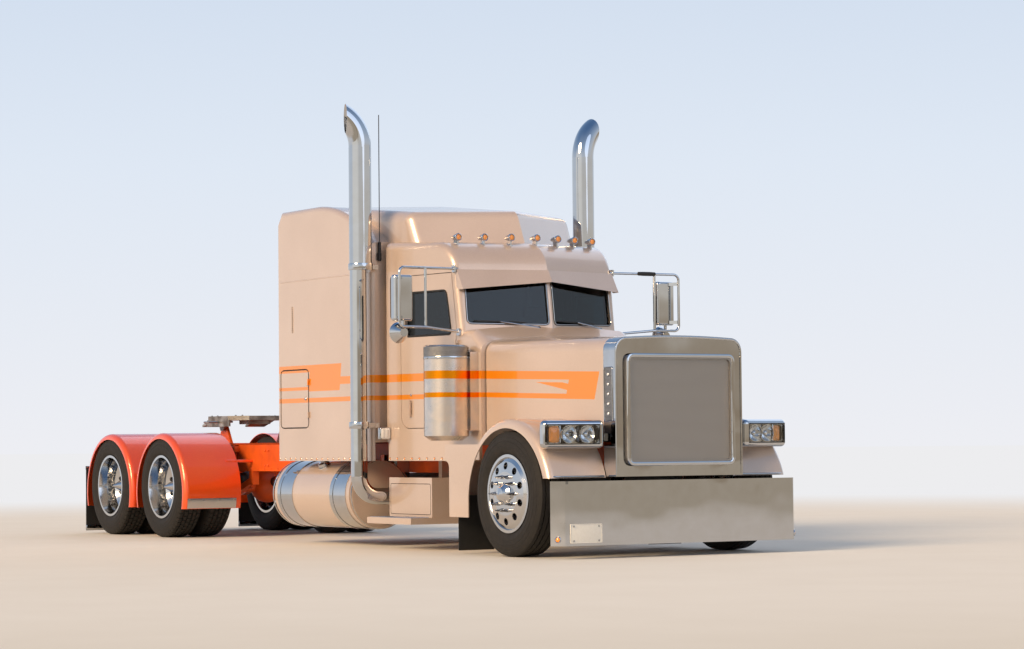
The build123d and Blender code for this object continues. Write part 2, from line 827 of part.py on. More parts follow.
# Cab: one closed form used for the shell, the doors, the glass and what seats inside
screen_rake = 0.146
screen_sweep = 0.264
screen_centre_x = at(-1148)
screen_foot_z = 1800
roof_slope = 0.057
roof_front_radius = 330
cab_edge_radius = 75
pillar_x = at(-1350)
cowl_flat_x = at(-1180)


def half_width_at(x):
    """Outer half-width of the cab at a station behind the windshield's foot."""
    if x >= pillar_x:
        return cab_front_half_width
    share = (pillar_x - x) / (pillar_x - cab_rear_x)
    return cab_front_half_width + share * (cab_rear_half_width - cab_front_half_width)


def cab_plan(inset, nose):
    """Plan outline of the cab: parallel ahead of the pillars, tapered behind them."""
    front = cab_front_half_width - inset
    rear = cab_rear_half_width - inset
    back = cab_rear_x + max(inset, 0)
    with BuildSketch() as sketch:
        Polygon(
            (nose, -front), (nose, front), (pillar_x, front), (back, rear), (back, -rear), (pillar_x, -front),
            align=None,
        )
    return sketch.sketch


def cab_profile(inset):
    """Centre line of the cab above the cowl: leaning windshield, round brow and rising roof."""
    back = cab_rear_x + max(inset, 0)
    top = roof_rear_z - inset
    foot_x = screen_centre_x - inset + screen_rake * (screen_base_z - screen_foot_z)
    apex_z = (top - roof_slope * (foot_x + screen_rake * screen_foot_z - back)) / (1 - roof_slope * screen_rake)
    apex_x = foot_x - screen_rake * (apex_z - screen_foot_z)
    with BuildSketch() as sketch:
        with BuildLine():
            FilletPolyline(
                (foot_x, screen_foot_z), (apex_x, apex_z), (back, top), radius=roof_front_radius - inset
            )
            Polyline((back, top), (back, screen_foot_z), (foot_x, screen_foot_z))
        make_face()
    return sketch.sketch


def swept_form(profile, sweep, plan, edge_radius, edge_test):
    """Side view swept back to both sides in plan, trimmed by a plan prism, with rounded side edges."""
    halves = [
        extrude(Plane.XZ * profile, amount=1600, dir=(-sweep, side, 0), mode=Mode.PRIVATE) for side in (-1, 1)
    ]
    form = ((halves[0] + halves[1]) & plan).solid()
    return form.fillet(edge_radius, [edge for edge in form.edges() if edge_test(edge.center())])


def cab_form(inset, floor):
    """The cab as a closed form from the floor up, with every other face moved in by the inset."""
    nose = cab_nose_x - inset
    back = cab_rear_x + max(inset, 0)
    half = cab_front_half_width - inset
    upper = swept_form(
        cab_profile(inset), screen_sweep,
        extrude(Plane.XY.offset(screen_foot_z) * cab_plan(inset, at(-1000)), amount=1200, mode=Mode.PRIVATE),
        cab_edge_radius - max(inset, 0),
        lambda centre: abs(centre.Y) > 500 and centre.Z > screen_base_z and centre.X > back + 10,
    )
    nose_section = crown_section(nose, half, cowl_z - inset, cowl_z - 70 - inset, 112 - inset, floor)
    cowl_section = crown_section(cowl_flat_x, half, screen_base_z - inset, 1925 - inset, 90 - inset, floor)
    cowl = loft([nose_section, cowl_section]) + extrude(cowl_section, amount=-240, mode=Mode.PRIVATE)
    body = extrude(
        Plane.XY.offset(floor) * cab_plan(inset, pillar_x + 1), amount=screen_foot_z + 10 - floor,
        mode=Mode.PRIVATE,
    )
    return upper + cowl + body


def door_outline(grow, leaning_front=True):
    """Side view of the door opening, grown by a clearance."""
    with BuildSketch() as sketch:
        with BuildLine():
            Polyline(
                (door_front_x + grow, door_bottom_z - grow),
                (door_front_x + grow, 1985),
                (door_front_x - 62 + grow, door_top_z + grow),
                (door_rear_x - grow, door_top_z + grow),
                (door_rear_x - grow, door_bottom_z - grow),
                close=True,
            )
        make_face()
        low_rear = sketch.vertices().group_by(Axis.X)[0].sort_by(Axis.Y)[0]
        high_rear = sketch.vertices().group_by(Axis.X)[0].sort_by(Axis.Y)[-1]
        fillet(low_rear, 110 + grow)
        fillet(high_rear, 60 + grow)
    return sketch.sketch


def window_outline(shrink):
    """Side view of the door window."""
    with BuildSketch() as sketch:
        with BuildLine():
            Polyline(
                (at(-1490) - shrink, 1900 + shrink),
                (at(-1560) - shrink, 2290 - shrink),
                (at(-2150) + shrink, 2290 - shrink),
                (at(-2150) + shrink, 1900 + shrink),
                close=True,
            )
        make_face()
        fillet(sketch.vertices(), 40)
    return sketch.sketch


def pane_outline(shrink):
    """Front view of the left windshield pane."""
    with BuildSketch() as sketch:
        with BuildLine():
            Polyline(
                (28 + shrink, screen_base_z + 12 + shrink),
                (28 + shrink, 2420 - shrink),
                (745 - shrink, 2385 - shrink),
                (752 - shrink, screen_base_z + 22 + shrink),
                close=True,
            )
        make_face()
        fillet(sketch.vertices(), 35)
    return sketch.sketch


def front_prism(outline, mirrored=False):
    """Prism along X of a front-view outline, through the windshield."""
    prism = extrude(Plane.YZ.offset(at(-1600)) * outline, amount=600)
    return mirror(prism, about=Plane.XZ) if mirrored else prism


cab_outer = cab_form(0, cab_floor_bottom)
cab_inner = cab_form(cab_wall, cab_floor_top)
cab_shell = cab_outer - cab_inner
glass_inset = 14
boot_half_width = 560
boot_low = 1040
boot_high = 2560
cab_envelope = cab_form(-seat_gap, cab_floor_bottom)
cab_lining = cab_form(cab_wall + seat_gap, cab_floor_top)
pane_holes = [front_prism(pane_outline(0), mirrored) for mirrored in (False, True)]
with BuildPart() as screen_layer:
    pane_centre = screen_centre_x - glass_inset
    pane_edge = pane_centre - screen_sweep * 900
    with BuildSketch(Plane.XY.offset(screen_base_z - 10)):
        Polygon(
            (pane_centre, 0), (pane_edge, 900), (pane_edge - glass_thickness, 900),
            (pane_centre - glass_thickness, 0), (pane_edge - glass_thickness, -900), (pane_edge, -900),
            align=None,
        )
    extrude(amount=500, dir=(-screen_rake, 0, 1))
panes = [screen_layer.part & front_prism(pane_outline(seat_gap), mirrored) for mirrored in (False, True)]
door_sides = (("left", 1, 600, 1200), ("right", -1, -1200, -600))
door_holes = [side_prism(door_outline(panel_gap), low, high) for _, _, low, high in door_sides]

with BuildPart() as cab:
    add(cab_shell)
    # Passage to the sleeper through the rear wall
    with Locations((cab_rear_x, 0, (boot_low + boot_high) / 2)):
        Box(200, 2 * boot_half_width, boot_high - boot_low, mode=Mode.SUBTRACT)
    add(pane_holes + door_holes, mode=Mode.SUBTRACT)
    # Skirts below the body seam, leaning back at the rear
    for side in (-1, 1):
        skirt_front = at(-1060)
        skirt_rear = cab_rear_x + 20
        with BuildSketch(Plane.XY.offset(skirt_bottom_z)):
            with BuildLine():
                Polyline(
                    (skirt_front, side * cab_front_half_width),
                    (pillar_x, side * cab_front_half_width),
                    (skirt_rear, side * half_width_at(skirt_rear)),
                    (skirt_rear, side * (half_width_at(skirt_rear) - 30)),
                    (pillar_x, side * (cab_front_half_width - 30)),
                    (skirt_front, side * (cab_front_half_width - 30)),
                    close=True,
                )
            make_face()
        extrude(amount=cab_floor_bottom - skirt_bottom_z + 5)
    # Fixed halves of the door hinges, above each door's own barrel
    for side in (-1, 1):
        for hinge_z in door_hinge_heights:
            leaf_z = hinge_z + hinge_barrel / 2 + seat_gap + 15
            with Locations((door_hinge_x, side * door_hinge_y, leaf_z)):
                Cylinder(9, 30)
            with Locations((door_hinge_x + 18, side * (door_hinge_y - 11), leaf_z)):
                Box(36, 22, 30)
    # Floor mounts on the rails
    for mount_x in (at(-1500), at(-2250)):
        for side in (-1, 1):
            with Locations((mount_x, side * (rail_outer_y - 45), (rail_top + cab_floor_bottom) / 2 + seat_gap)):
                Box(120, 70, cab_floor_bottom - rail_top, align=Align.CENTER)
write("cab", cab.part)

with BuildPart() as windshield:
    add(panes)
write("windshield", windshield.part)

for side_name, side, y_from, y_to in door_sides:
    door_panel = cab_shell & side_prism(door_outline(0), y_from, y_to)
    door_window = side_prism(window_outline(0), y_from, y_to)
    with BuildPart() as door:
        add(door_panel)
        add(door_window, mode=Mode.SUBTRACT)
        # Hinge knuckles outside the skin, handle on the rear of the door
        for hinge_z in door_hinge_heights:
            with Locations((door_hinge_x - 26, side * (door_hinge_y - 3), hinge_z)):
                Box(52, 14, hinge_barrel)
            with Locations((door_hinge_x, side * door_hinge_y, hinge_z)):
                Cylinder(9, hinge_barrel)
        with Locations((at(-2082), side * (half_width_at(at(-2082)) + 16), 1255)):
            Box(26, 14, 150)
        for foot_z in (1195, 1315):
            with Locations((at(-2082), side * (half_width_at(at(-2082)) + 4), foot_z)):
                Box(22, 24, 22)
    write(f"door_{side_name}", door.part)
    glass_outer = half_width_at(door_front_x) - glass_inset
    glass_rear = half_width_at(door_rear_x) - glass_inset
    with BuildPart() as glass_layer:
        with BuildSketch(Plane.XY.offset(1800)):
            Polygon(
                (door_front_x, side * glass_outer), (door_rear_x, side * glass_rear),
                (door_rear_x, side * (glass_rear - glass_thickness)),
                (door_front_x, side * (glass_outer - glass_thickness)),
                align=None,
            )
        extrude(amount=700)
    glass = glass_layer.part & side_prism(window_outline(seat_gap), y_from, y_to)
    write(f"door_glass_{side_name}", glass)

# Visor: drop visor in two swept planes above the windshield, closed at both ends
visor_lean = 0.627
visor_low_z = 2280
visor_half_width = 815
visor_sheet = 7
visor_centre_x = at(-1141) + visor_lean * (2358 - visor_low_z)
visor_end_x = visor_centre_x - screen_sweep * visor_half_width
visor_trim = extrude(Plane.YZ.offset(at(-1700)) * Polygon(
    (0, 2358), (visor_half_width + 5, 2289), (visor_half_width + 5, 2600),
    (-visor_half_width - 5, 2600), (-visor_half_width - 5, 2289), align=None,
), amount=800)
visor_end = Polygon(
    (visor_end_x - visor_lean * 8 - 2, 2288), (visor_end_x - visor_lean * 160 - 2, 2440),
    (visor_end_x - 240, 2440), (visor_end_x - 90, 2288), align=None,
)
visor_ends = [
    side_prism(visor_end, side * visor_half_width - visor_sheet * (side > 0),
               side * visor_half_width + visor_sheet * (side < 0))
    for side in (-1, 1)
]
with BuildPart() as visor:
    with BuildSketch(Plane.XY.offset(visor_low_z)):
        Polygon(
            (visor_centre_x, 0), (visor_end_x, visor_half_width), (visor_end_x - visor_sheet, visor_half_width),
            (visor_centre_x - visor_sheet, 0), (visor_end_x - visor_sheet, -visor_half_width),
            (visor_end_x, -visor_half_width), align=None,
        )
    extrude(amount=2500 - visor_low_z, dir=(-visor_lean, 0, 1))
    add(visor_trim, mode=Mode.INTERSECT)
    add(visor_ends)
    add(cab_envelope, mode=Mode.SUBTRACT)
write("visor", visor.part)

# Roof lights: seven bullet bodies on short feet along the brow
light_z = 2765
light_stations = ((0, -1425), (244, -1465), (473, -1545), (705, -1613))
with BuildPart() as roof_lights:
    for lateral, distance in light_stations:
        for side in ((1,) if lateral == 0 else (-1, 1)):
            with BuildSketch(Plane.XZ.offset(-side * lateral)):
                with BuildLine():
                    Polyline(
                        (at(distance) - 95, light_z), (at(distance) - 60, light_z + 16),
                        (at(distance) - 10, light_z + 27), (at(distance) + 38, light_z + 30),
                    )
                    Line((at(distance) + 38, light_z + 30), (at(distance) + 38, light_z))
                    Line((at(distance) + 38, light_z), (at(distance) - 95, light_z))
                make_face()
            revolve(axis=Axis((0, side * lateral, light_z), (1, 0, 0)))
            with Locations((at(distance) - 5, side * lateral, light_z - 60)):
                Box(60, 14, 120)
    add(cab_envelope, mode=Mode.SUBTRACT)
write("roof_lights", roof_lights.part)

# Sleeper: box body with an open passage ring to the cab
sleeper_floor_top = 1000
with BuildPart() as sleeper:
    sleeper_mid_x = (sleeper_front_x + sleeper_rear_x) / 2
    sleeper_length = sleeper_front_x - sleeper_rear_x
    with BuildSketch(Plane.XY.offset(skirt_bottom_z)):
        with Locations((sleeper_mid_x, 0)):
            RectangleRounded(sleeper_length, 2 * sleeper_half_width, 50)
    extrude(amount=sleeper_body_top - skirt_bottom_z)
    with BuildSketch(Plane.XY.offset(sleeper_floor_top)):
        with Locations((sleeper_mid_x, 0)):
            RectangleRounded(
                sleeper_length - 2 * sleeper_wall, 2 * (sleeper_half_width - sleeper_wall), 15
            )
    extrude(amount=2000, mode=Mode.SUBTRACT)
    with BuildSketch(Plane.XY.offset(skirt_bottom_z)):
        with Locations((sleeper_mid_x, 0)):
            Rectangle(sleeper_length - 2 * sleeper_wall, 2 * (sleeper_half_width - sleeper_wall))
        with Locations((sleeper_front_x, 0), (sleeper_rear_x, 0)):
            Rectangle(300, 2 * (sleeper_half_width - sleeper_wall))
    extrude(amount=cab_floor_bottom - skirt_bottom_z, mode=Mode.SUBTRACT)
    # Boot ring that bridges to the cab
    with Locations(((sleeper_front_x + cab_rear_x - seat_gap) / 2, 0, (boot_low + boot_high) / 2)):
        Box(cab_rear_x - seat_gap - sleeper_front_x, 2 * boot_half_width + 60, boot_high - boot_low + 60)
    with Locations((sleeper_front_x, 0, (boot_low + boot_high) / 2)):
        Box(300, 2 * boot_half_width - 40, boot_high - boot_low - 40, mode=Mode.SUBTRACT)
    # Luggage door openings
    luggage_front_x = at(-3740)
    luggage_rear_x = at(-4320)
    luggage_low = 1100
    luggage_high = 1650
    luggage_mid = ((luggage_front_x + luggage_rear_x) / 2, (luggage_low + luggage_high) / 2)
    luggage_size = (luggage_front_x - luggage_rear_x, luggage_high - luggage_low)
    with BuildSketch(Plane.XZ.offset(-1300)):
        with Locations(luggage_mid):
            RectangleRounded(luggage_size[0] + 2 * panel_gap, luggage_size[1] + 2 * panel_gap, 66)
    extrude(amount=2600, mode=Mode.SUBTRACT)
    # Seats of the body on the rails
    for mount_x in (at(-2800), at(-4150)):
        for side in (-1, 1):
            with Locations((mount_x, side * (rail_outer_y - 45), (rail_top + cab_floor_bottom) / 2 + seat_gap)):
                Box(120, 70, cab_floor_bottom - rail_top)
write("sleeper", sleeper.part)

luggage_hinge_y = sleeper_half_width + 12
for side_name, side in (("left", 1), ("right", -1)):
    with BuildPart() as luggage_door:
        with BuildSketch(Plane.XZ.offset(-side * (sleeper_half_width - sleeper_wall / 2))):
            with Locations(luggage_mid):
                RectangleRounded(*luggage_size, 60)
        extrude(amount=sleeper_wall / 2, both=True)
        for hinge_z in (luggage_low + 120, luggage_high - 120):
            with Locations((luggage_front_x - 16, side * (sleeper_half_width + 8), hinge_z)):
                Box(44, 16, 60)
            with Locations((luggage_front_x + 6, side * luggage_hinge_y, hinge_z)):
                Cylinder(7, 60)
    write(f"luggage_door_{side_name}", luggage_door.part)

# Sleeper roof: side panels under a raised dome whose front comes over the cab in a V
roof_wall = 40
dome_sweep = 0.583
dome_edge_radius = 110
dome_rake = 0.46
dome_crease_x = at(-1737)
dome_nose_z = 3030
dome_top_x = at(-3080)
dome_rear_x = at(-3500)
dome_front_half = sleeper_half_width - 295
dome_rear_half = sleeper_half_width - 105
roof_base_z = sleeper_body_top + seat_gap
roof_front_low = 2770


def roof_side(inset):
    """Side view of the roof over the sleeper's full width, moved in by the inset."""
    with BuildSketch() as sketch:
        with BuildLine():
            Polyline(
                (sleeper_rear_x + inset + 90, sleeper_roof_top - inset), (sleeper_rear_x + inset, 3060),
                (sleeper_rear_x + inset, roof_base_z - 5 * (inset > 0)),
                (sleeper_front_x - inset, roof_base_z - 5 * (inset > 0)),
                (sleeper_front_x - inset, roof_front_low - inset / 2),
            )
            ThreePointArc(
                (sleeper_front_x - inset, roof_front_low - inset / 2), (at(-2930), 3030 - 1.2 * inset),
                (at(-3600), sleeper_roof_top - inset),
            )
            Line((at(-3600), sleeper_roof_top - inset),
                 (sleeper_rear_x + inset + 90, sleeper_roof_top - inset))
        make_face()
        fillet(sketch.vertices().sort_by_distance((sleeper_rear_x + inset, 3060))[0], 60)
    return sketch.sketch


def dome_profile(inset, low):
    """Centre line of the dome: steep front, round edge and a top that rises to the rear."""
    with BuildSketch() as sketch:
        with BuildLine():
            FilletPolyline(
                (dome_crease_x - inset + dome_rake * (dome_nose_z - low), low),
                (dome_crease_x - inset, dome_nose_z - inset),
                (dome_top_x, sleeper_roof_top - inset), radius=120 - inset / 2,
            )
            Polyline(
                (dome_top_x, sleeper_roof_top - inset), (dome_rear_x, sleeper_roof_top - inset),
                (dome_rear_x, low), (dome_crease_x - inset + dome_rake * (dome_nose_z - low), low),
            )
        make_face()
    return sketch.sketch


def dome_form(inset, low):
    """The dome as a closed form, trimmed in plan to its narrower front."""
    front = dome_front_half - inset
    rear = dome_rear_half - inset
    plan = Polygon(
        (at(-1500), -front), (at(-1500), front), (dome_rear_x, rear), (dome_rear_x, -rear), align=None
    )
    return swept_form(
        dome_profile(inset, low), dome_sweep,
        extrude(Plane.XY.offset(low) * plan, amount=1200, mode=Mode.PRIVATE), dome_edge_radius - inset,
        lambda centre: abs(centre.Y) > 500 and centre.Z > low + 50 and centre.X > dome_rear_x + 10,
    )


roof_panels = side_prism(roof_side(0), -sleeper_half_width, sleeper_half_width)
roof_panels = roof_panels.fillet(50, [
    edge for edge in roof_panels.edges()
    if abs(edge.center().Y) > sleeper_half_width - 1 and edge.center().Z > roof_front_low + 30
])
roof_space = side_prism(roof_side(roof_wall), roof_wall - sleeper_half_width, sleeper_half_width - roof_wall)
dome_outer = dome_form(0, 2700)
dome_space = dome_form(roof_wall, 2800)
with BuildPart() as sleeper_roof:
    add(roof_panels)
    add(dome_outer)
    add([roof_space, dome_space, cab_envelope], mode=Mode.SUBTRACT)
write("sleeper_roof", sleeper_roof.part)

# Antenna: whip on a small base at the front of the sleeper roof
with BuildPart() as antenna:
    with BuildSketch(Plane.XY.offset(2600)):
        with Locations((sleeper_front_x + 20, 85 - sleeper_half_width)):
            Circle(14)
    extrude(amount=170)
    with BuildSketch(Plane.XY.offset(2760)):
        with Locations((sleeper_front_x + 20, 85 - sleeper_half_width)):
            Circle(4)
    extrude(amount=3930 - 2760)
    with Locations((sleeper_front_x + 10 + seat_gap, 85 - sleeper_half_width, 2640)):
        Box(20, 40, 60)
write("antenna", antenna.part)

# Air cleaners: bright canisters on ducts into the cowl sides
cleaner_x = at(-1215)
cleaner_y = 1050
cleaner_radius = 195
cleaner_low = 990
cleaner_high = 1790
with BuildPart() as air_cleaners:
    with BuildSketch(Plane.XZ):
        with BuildLine():
            Line((0, cleaner_low - 25), (cleaner_radius - 60, cleaner_low - 25))
            Line((cleaner_radius - 60, cleaner_low - 25), (cleaner_radius, cleaner_low + 15))
            Line((cleaner_radius, cleaner_low + 15), (cleaner_radius, cleaner_high - 25))
            RadiusArc((cleaner_radius, cleaner_high - 25), (cleaner_radius - 25, cleaner_high), -25)
            Line((cleaner_radius - 25, cleaner_high), (0, cleaner_high))
            Line((0, cleaner_high), (0, cleaner_low - 25))
        make_face()
    revolve(axis=Axis.Z)
canister = air_cleaners.part
with BuildPart() as air_cleaners:
    add(Pos(cleaner_x, cleaner_y, 0) * canister)
    with Locations((at(-1190), (cab_front_half_width + seat_gap + 900) / 2, 1390)):
        Box(260, 900 - cab_front_half_width - seat_gap, 680)
    mirror(about=Plane.XZ)
write("air_cleaners", air_cleaners.part)

# Mirrors: heads and conical spot mirrors on a loop of two uprights between two arms
mirror_y = 1376
mirror_x = at(-1410)
mirror_tube = 12
upright_x = at(-1295)
outer_upright_y = 1462
inner_upright_y = 1200
arm_high_z = 2465
arm_low_z = 1950
pillar_pads = ((at(-1445), arm_high_z + 8), (at(-1385), arm_low_z - 35))
with BuildPart() as mirrors:
    with Locations((mirror_x, mirror_y, 2204)):
        Box(85, 190, 400)
    fillet(mirrors.edges().filter_by(Axis.Z), 30)
    fillet(mirrors.faces().filter_by(Axis.Z).edges(), 22)
    # Spot mirror: a cone that opens to the rear, on a stem under the head
    with BuildSketch(Plane(origin=(mirror_x - 60, mirror_y, 1905), z_dir=(1, 0, 0))):
        Circle(92)
    with BuildSketch(Plane(origin=(mirror_x + 40, mirror_y, 1905), z_dir=(1, 0, 0))):
        Circle(38)
    loft()
    with Locations((mirror_x + 20, mirror_y, 1975)):
        Cylinder(14, 90)
    # Loop through both pillar pads, with the inner upright between its arms
    with BuildLine() as loop_path:
        FilletPolyline(
            (pillar_pads[0][0], half_width_at(pillar_pads[0][0]) - 20, pillar_pads[0][1]),
            (upright_x, outer_upright_y, arm_high_z),
            (upright_x, outer_upright_y, arm_low_z),
            (upright_x, inner_upright_y, arm_low_z),
            (pillar_pads[1][0], half_width_at(pillar_pads[1][0]) - 20, pillar_pads[1][1]),
            radius=50,
        )
    with BuildSketch(Plane(origin=loop_path.line @ 0, z_dir=loop_path.line % 0)):
        Circle(mirror_tube)
    sweep()
    with Locations((upright_x - 8, inner_upright_y, (arm_high_z + arm_low_z) / 2)):
        Cylinder(mirror_tube, arm_high_z - arm_low_z)
    # Clamps that carry the head on the outer upright
    for clamp_z in (2030, 2380):
        with Locations(((upright_x + mirror_x) / 2, (outer_upright_y + mirror_y) / 2, clamp_z)):
            Box(upright_x - mirror_x + 10, 24, 30, rotation=(0, 0, 37))
    for pad_x, pad_z in pillar_pads:
        with Locations((pad_x, half_width_at(pad_x) + 4, pad_z)):
            Box(46, 16, 60)
    mirror(about=Plane.XZ)
    add(cab_envelope, mode=Mode.SUBTRACT)
write("mirrors", mirrors.part)

# Inside: dashboard with the steering column, two seats, steering wheel
wheel_centre = (at(-1600), 450, 1780)
wheel_tilt = 48
column_dir = (sin(radians(wheel_tilt)), 0, -cos(radians(wheel_tilt)))
with BuildPart() as dashboard:
    with BuildSketch(Plane.XZ.offset(-780)):
        with BuildLine():
            Polyline(
                (at(-1000), 1420), (at(-1000), 1850), (at(-1200), 1890), (at(-1370), 1850),
                (at(-1410), 1700), (at(-1350), 1460), close=True,
            )
        make_face()
    extrude(amount=1560)
    add(cab_lining, mode=Mode.INTERSECT)
    column_start = Vector(*wheel_centre) + Vector(*column_dir) * 70
    with BuildSketch(Plane(origin=column_start, z_dir=column_dir)):
        Circle(32)
    extrude(amount=300)
    with BuildSketch(Plane(origin=column_start, z_dir=column_dir)):
        Circle(12 + seat_gap)
    extrude(amount=60, mode=Mode.SUBTRACT)
write("dashboard", dashboard.part)

wheel_plane = Plane(origin=wheel_centre, x_dir=(0, 1, 0), z_dir=tuple(-c for c in column_dir))
with BuildPart(wheel_plane) as steering_wheel:
    Torus(215, 15)
    for turn in (0, 90, 180, 270):
        with Locations(Location((0, 0, -10), (0, 0, turn))):
            with Locations((110, 0, 0)):
                Box(200, 24, 10)
    Cylinder(48, 36)
    with Locations((0, 0, -60)):
        Cylinder(12, 100)
write("steering_wheel", steering_wheel.part)

with BuildPart() as seats:
    for side in (-1, 1):
        with Locations((at(-1840), side * 450, cab_floor_top + 190)):
            Box(380, 380, 380)
        with Locations((at(-1830), side * 450, cab_floor_top + 440)):
            Box(500, 500, 120)
        with BuildSketch(Plane.XZ.offset(-side * 450)):
            with BuildLine():
                Polyline(
                    (at(-1990), cab_floor_top + 380), (at(-2110), cab_floor_top + 380),
                    (at(-2230), cab_floor_top + 1180), (at(-2130), cab_floor_top + 1180), close=True,
                )
            make_face()
        extrude(amount=240, both=True)
write("seats", seats.part)

# Fuel tanks with domed heads, and their bands on frame brackets
band_stations = (-3010, -3260, -4080, -4330)
band_width = 60
tank_length = tank_front_x - tank_rear_x
dome = 45
dome_radius = (tank_radius ** 2 + dome ** 2) / (2 * dome)
with BuildPart() as fuel_tanks:
    with BuildSketch(Plane.XY):
        with BuildLine():
            Line((tank_rear_x, 0), (tank_front_x, 0))
            RadiusArc((tank_front_x, 0), (tank_front_x - dome, tank_radius), -dome_radius)
            Line((tank_front_x - dome, tank_radius), (tank_rear_x + dome, tank_radius))
            RadiusArc((tank_rear_x + dome, tank_radius), (tank_rear_x, 0), -dome_radius)
        make_face()
    revolve(axis=Axis.X)
tank_form = fuel_tanks.part
with BuildPart() as fuel_tanks:
    add(Pos(0, tank_y, tank_z) * tank_form)
    mirror(about=Plane.XZ)
write("fuel_tanks", fuel_tanks.part)

with BuildPart() as tank_straps:
    for station in band_stations:
        with BuildSketch(Plane.YZ.offset(at(station) - band_width / 2)):
            with Locations((tank_y, tank_z)):
                Circle(tank_radius + seat_gap + 6)
            with Locations(((rail_outer_y + seat_gap + 560) / 2, 560)):
                Rectangle(560 - rail_outer_y - seat_gap, 560)
            with Locations((tank_y, tank_z)):
                Circle(tank_radius + seat_gap, mode=Mode.SUBTRACT)
        extrude(amount=band_width)
    mirror(about=Plane.XZ)
write("tank_straps", tank_straps.part)

# Step boxes ahead of the tanks, each with its tread plate
with BuildPart() as step_boxes:
    with Locations((at(-1995), (500 + 975) / 2, (290 + 640) / 2)):
        Box(770, 475, 350)
    with Locations((at(-1990), 950, 262)):
        Box(800, 500, 56)
    for station in (-1750, -2250):
        with Locations((at(station), (rail_outer_y + seat_gap + 520) / 2, 700)):
            Box(60, 520 - rail_outer_y - seat_gap, 240)
    mirror(about=Plane.XZ)
write("step_boxes", step_boxes.part)

# Exhaust stacks: tall chrome tube with a turned-out mitred tip, slimmer pipe below, elbow
tip_bend = 330
tip_reach = 130
tip_angle = degrees(atan2(sqrt((tip_bend + stack_radius) ** 2 - (tip_bend - tip_reach) ** 2), tip_bend - tip_reach))
tip_start_z = stack_top_z - (tip_bend + stack_radius) * sin(radians(tip_angle))
joint_z = 2560
pipe_radius = 75
pipe_y = stack_y + stack_radius - pipe_radius
elbow_z = 470
elbow_bend = 180
tip_turn = 20
tip_wall = 3


def tip_sweep(start_z, radius):
    """Round bar up the stack that turns outboard along the tip's bend."""
    with BuildPart() as bar:
        with BuildLine(Plane.YZ):
            Line((0, start_z), (0, tip_start_z))
            RadiusArc(
                (0, tip_start_z),
                (tip_bend - tip_bend * cos(radians(75)), tip_start_z + tip_bend * sin(radians(75))),
                tip_bend,
            )
        with BuildSketch(Plane.XY.offset(start_z)):
            Circle(radius)
        sweep()
    return bar.part


tip_cut = Pos(0, tip_reach + 200, stack_top_z) * Box(500, 400, 1200)
stack_tube = Pos(stack_x, stack_y, 0) * Rot(0, 0, tip_turn) * (
    tip_sweep(joint_z, stack_radius) - tip_sweep(tip_start_z - 150, stack_radius - tip_wall) - tip_cut
)
with BuildPart() as stack_pipe:
    with BuildLine(Plane.YZ.offset(stack_x)):
        FilletPolyline((pipe_y, joint_z + 5), (pipe_y, elbow_z), (rail_inner_y, elbow_z), radius=elbow_bend)
    with BuildSketch(Plane.XY.offset(joint_z + 5)):
        with Locations((stack_x, pipe_y)):
            Circle(pipe_radius)
    sweep()
with BuildPart() as exhaust_stacks:
    add(stack_tube)
    add(stack_pipe.part)
    for clamp_z, clamp_radius in ((1110, pipe_radius + 9), (2540, stack_radius + 4)):
        with Locations((stack_x, pipe_y if clamp_z < 2000 else stack_y, clamp_z)):
            Cylinder(clamp_radius, 60)
        bracket_front = stack_x + 20
        bracket_back = sleeper_front_x + seat_gap
        with Locations(((bracket_front + bracket_back) / 2, 1110, clamp_z)):
            Box(bracket_front - bracket_back, 160, 40)
    mirror(about=Plane.XZ)
write("exhaust_stacks", exhaust_stacks.part)

# Rear fenders: half-round sheets with a rolled outer lip, on tubes from the rails
rear_fender_z = 455
rear_fender_radius = 620
rear_fender_inner_y = 607
rear_fender_outer_y = 1240
rear_lip = 60
sheet = 6


def half_drum(radius, inner_y, outer_y, edge_radius):
    """Drum about Y with a round outboard edge, the solid form of a fender's skin."""
    with BuildPart() as drum:
        with BuildSketch(Plane.XZ.offset(-inner_y)):
            Circle(radius)
        extrude(amount=-(outer_y - inner_y))
        fillet(drum.edges().sort_by(Axis.Y)[-1], edge_radius)
    return drum.part


fender_skin = half_drum(rear_fender_radius, rear_fender_inner_y, rear_fender_outer_y, 50)
fender_space = half_drum(rear_fender_radius - sheet, rear_fender_inner_y - 1, rear_fender_outer_y - sheet, 44)
with BuildPart() as one_fender:
    add(fender_skin)
    add(fender_space, mode=Mode.SUBTRACT)
    with BuildSketch(Plane.XZ.offset(-rear_fender_inner_y)):
        Circle(rear_fender_radius - rear_lip)
    extrude(amount=-700, mode=Mode.SUBTRACT)
    with Locations((0, rear_fender_inner_y + 300, -rear_fender_radius - 155)):
        Box(1400, 900, 2 * rear_fender_radius, mode=Mode.SUBTRACT)
fender_form = one_fender.part
with BuildPart() as rear_fenders:
    for axle_x in (drive_axle_x, last_axle_x):
        add(Pos(axle_x, 0, rear_fender_z) * fender_form)
        for reach in (-520, 520):
            height = rear_fender_z + sqrt((rear_fender_radius - 3) ** 2 - reach ** 2)
            with BuildSketch(Plane.XZ.offset(-rail_outer_y - seat_gap)):
                with Locations((axle_x + reach, height - 8)):
                    Circle(16)
            extrude(amount=-300)
    mirror(about=Plane.XZ)
write("rear_fenders", rear_fenders.part)

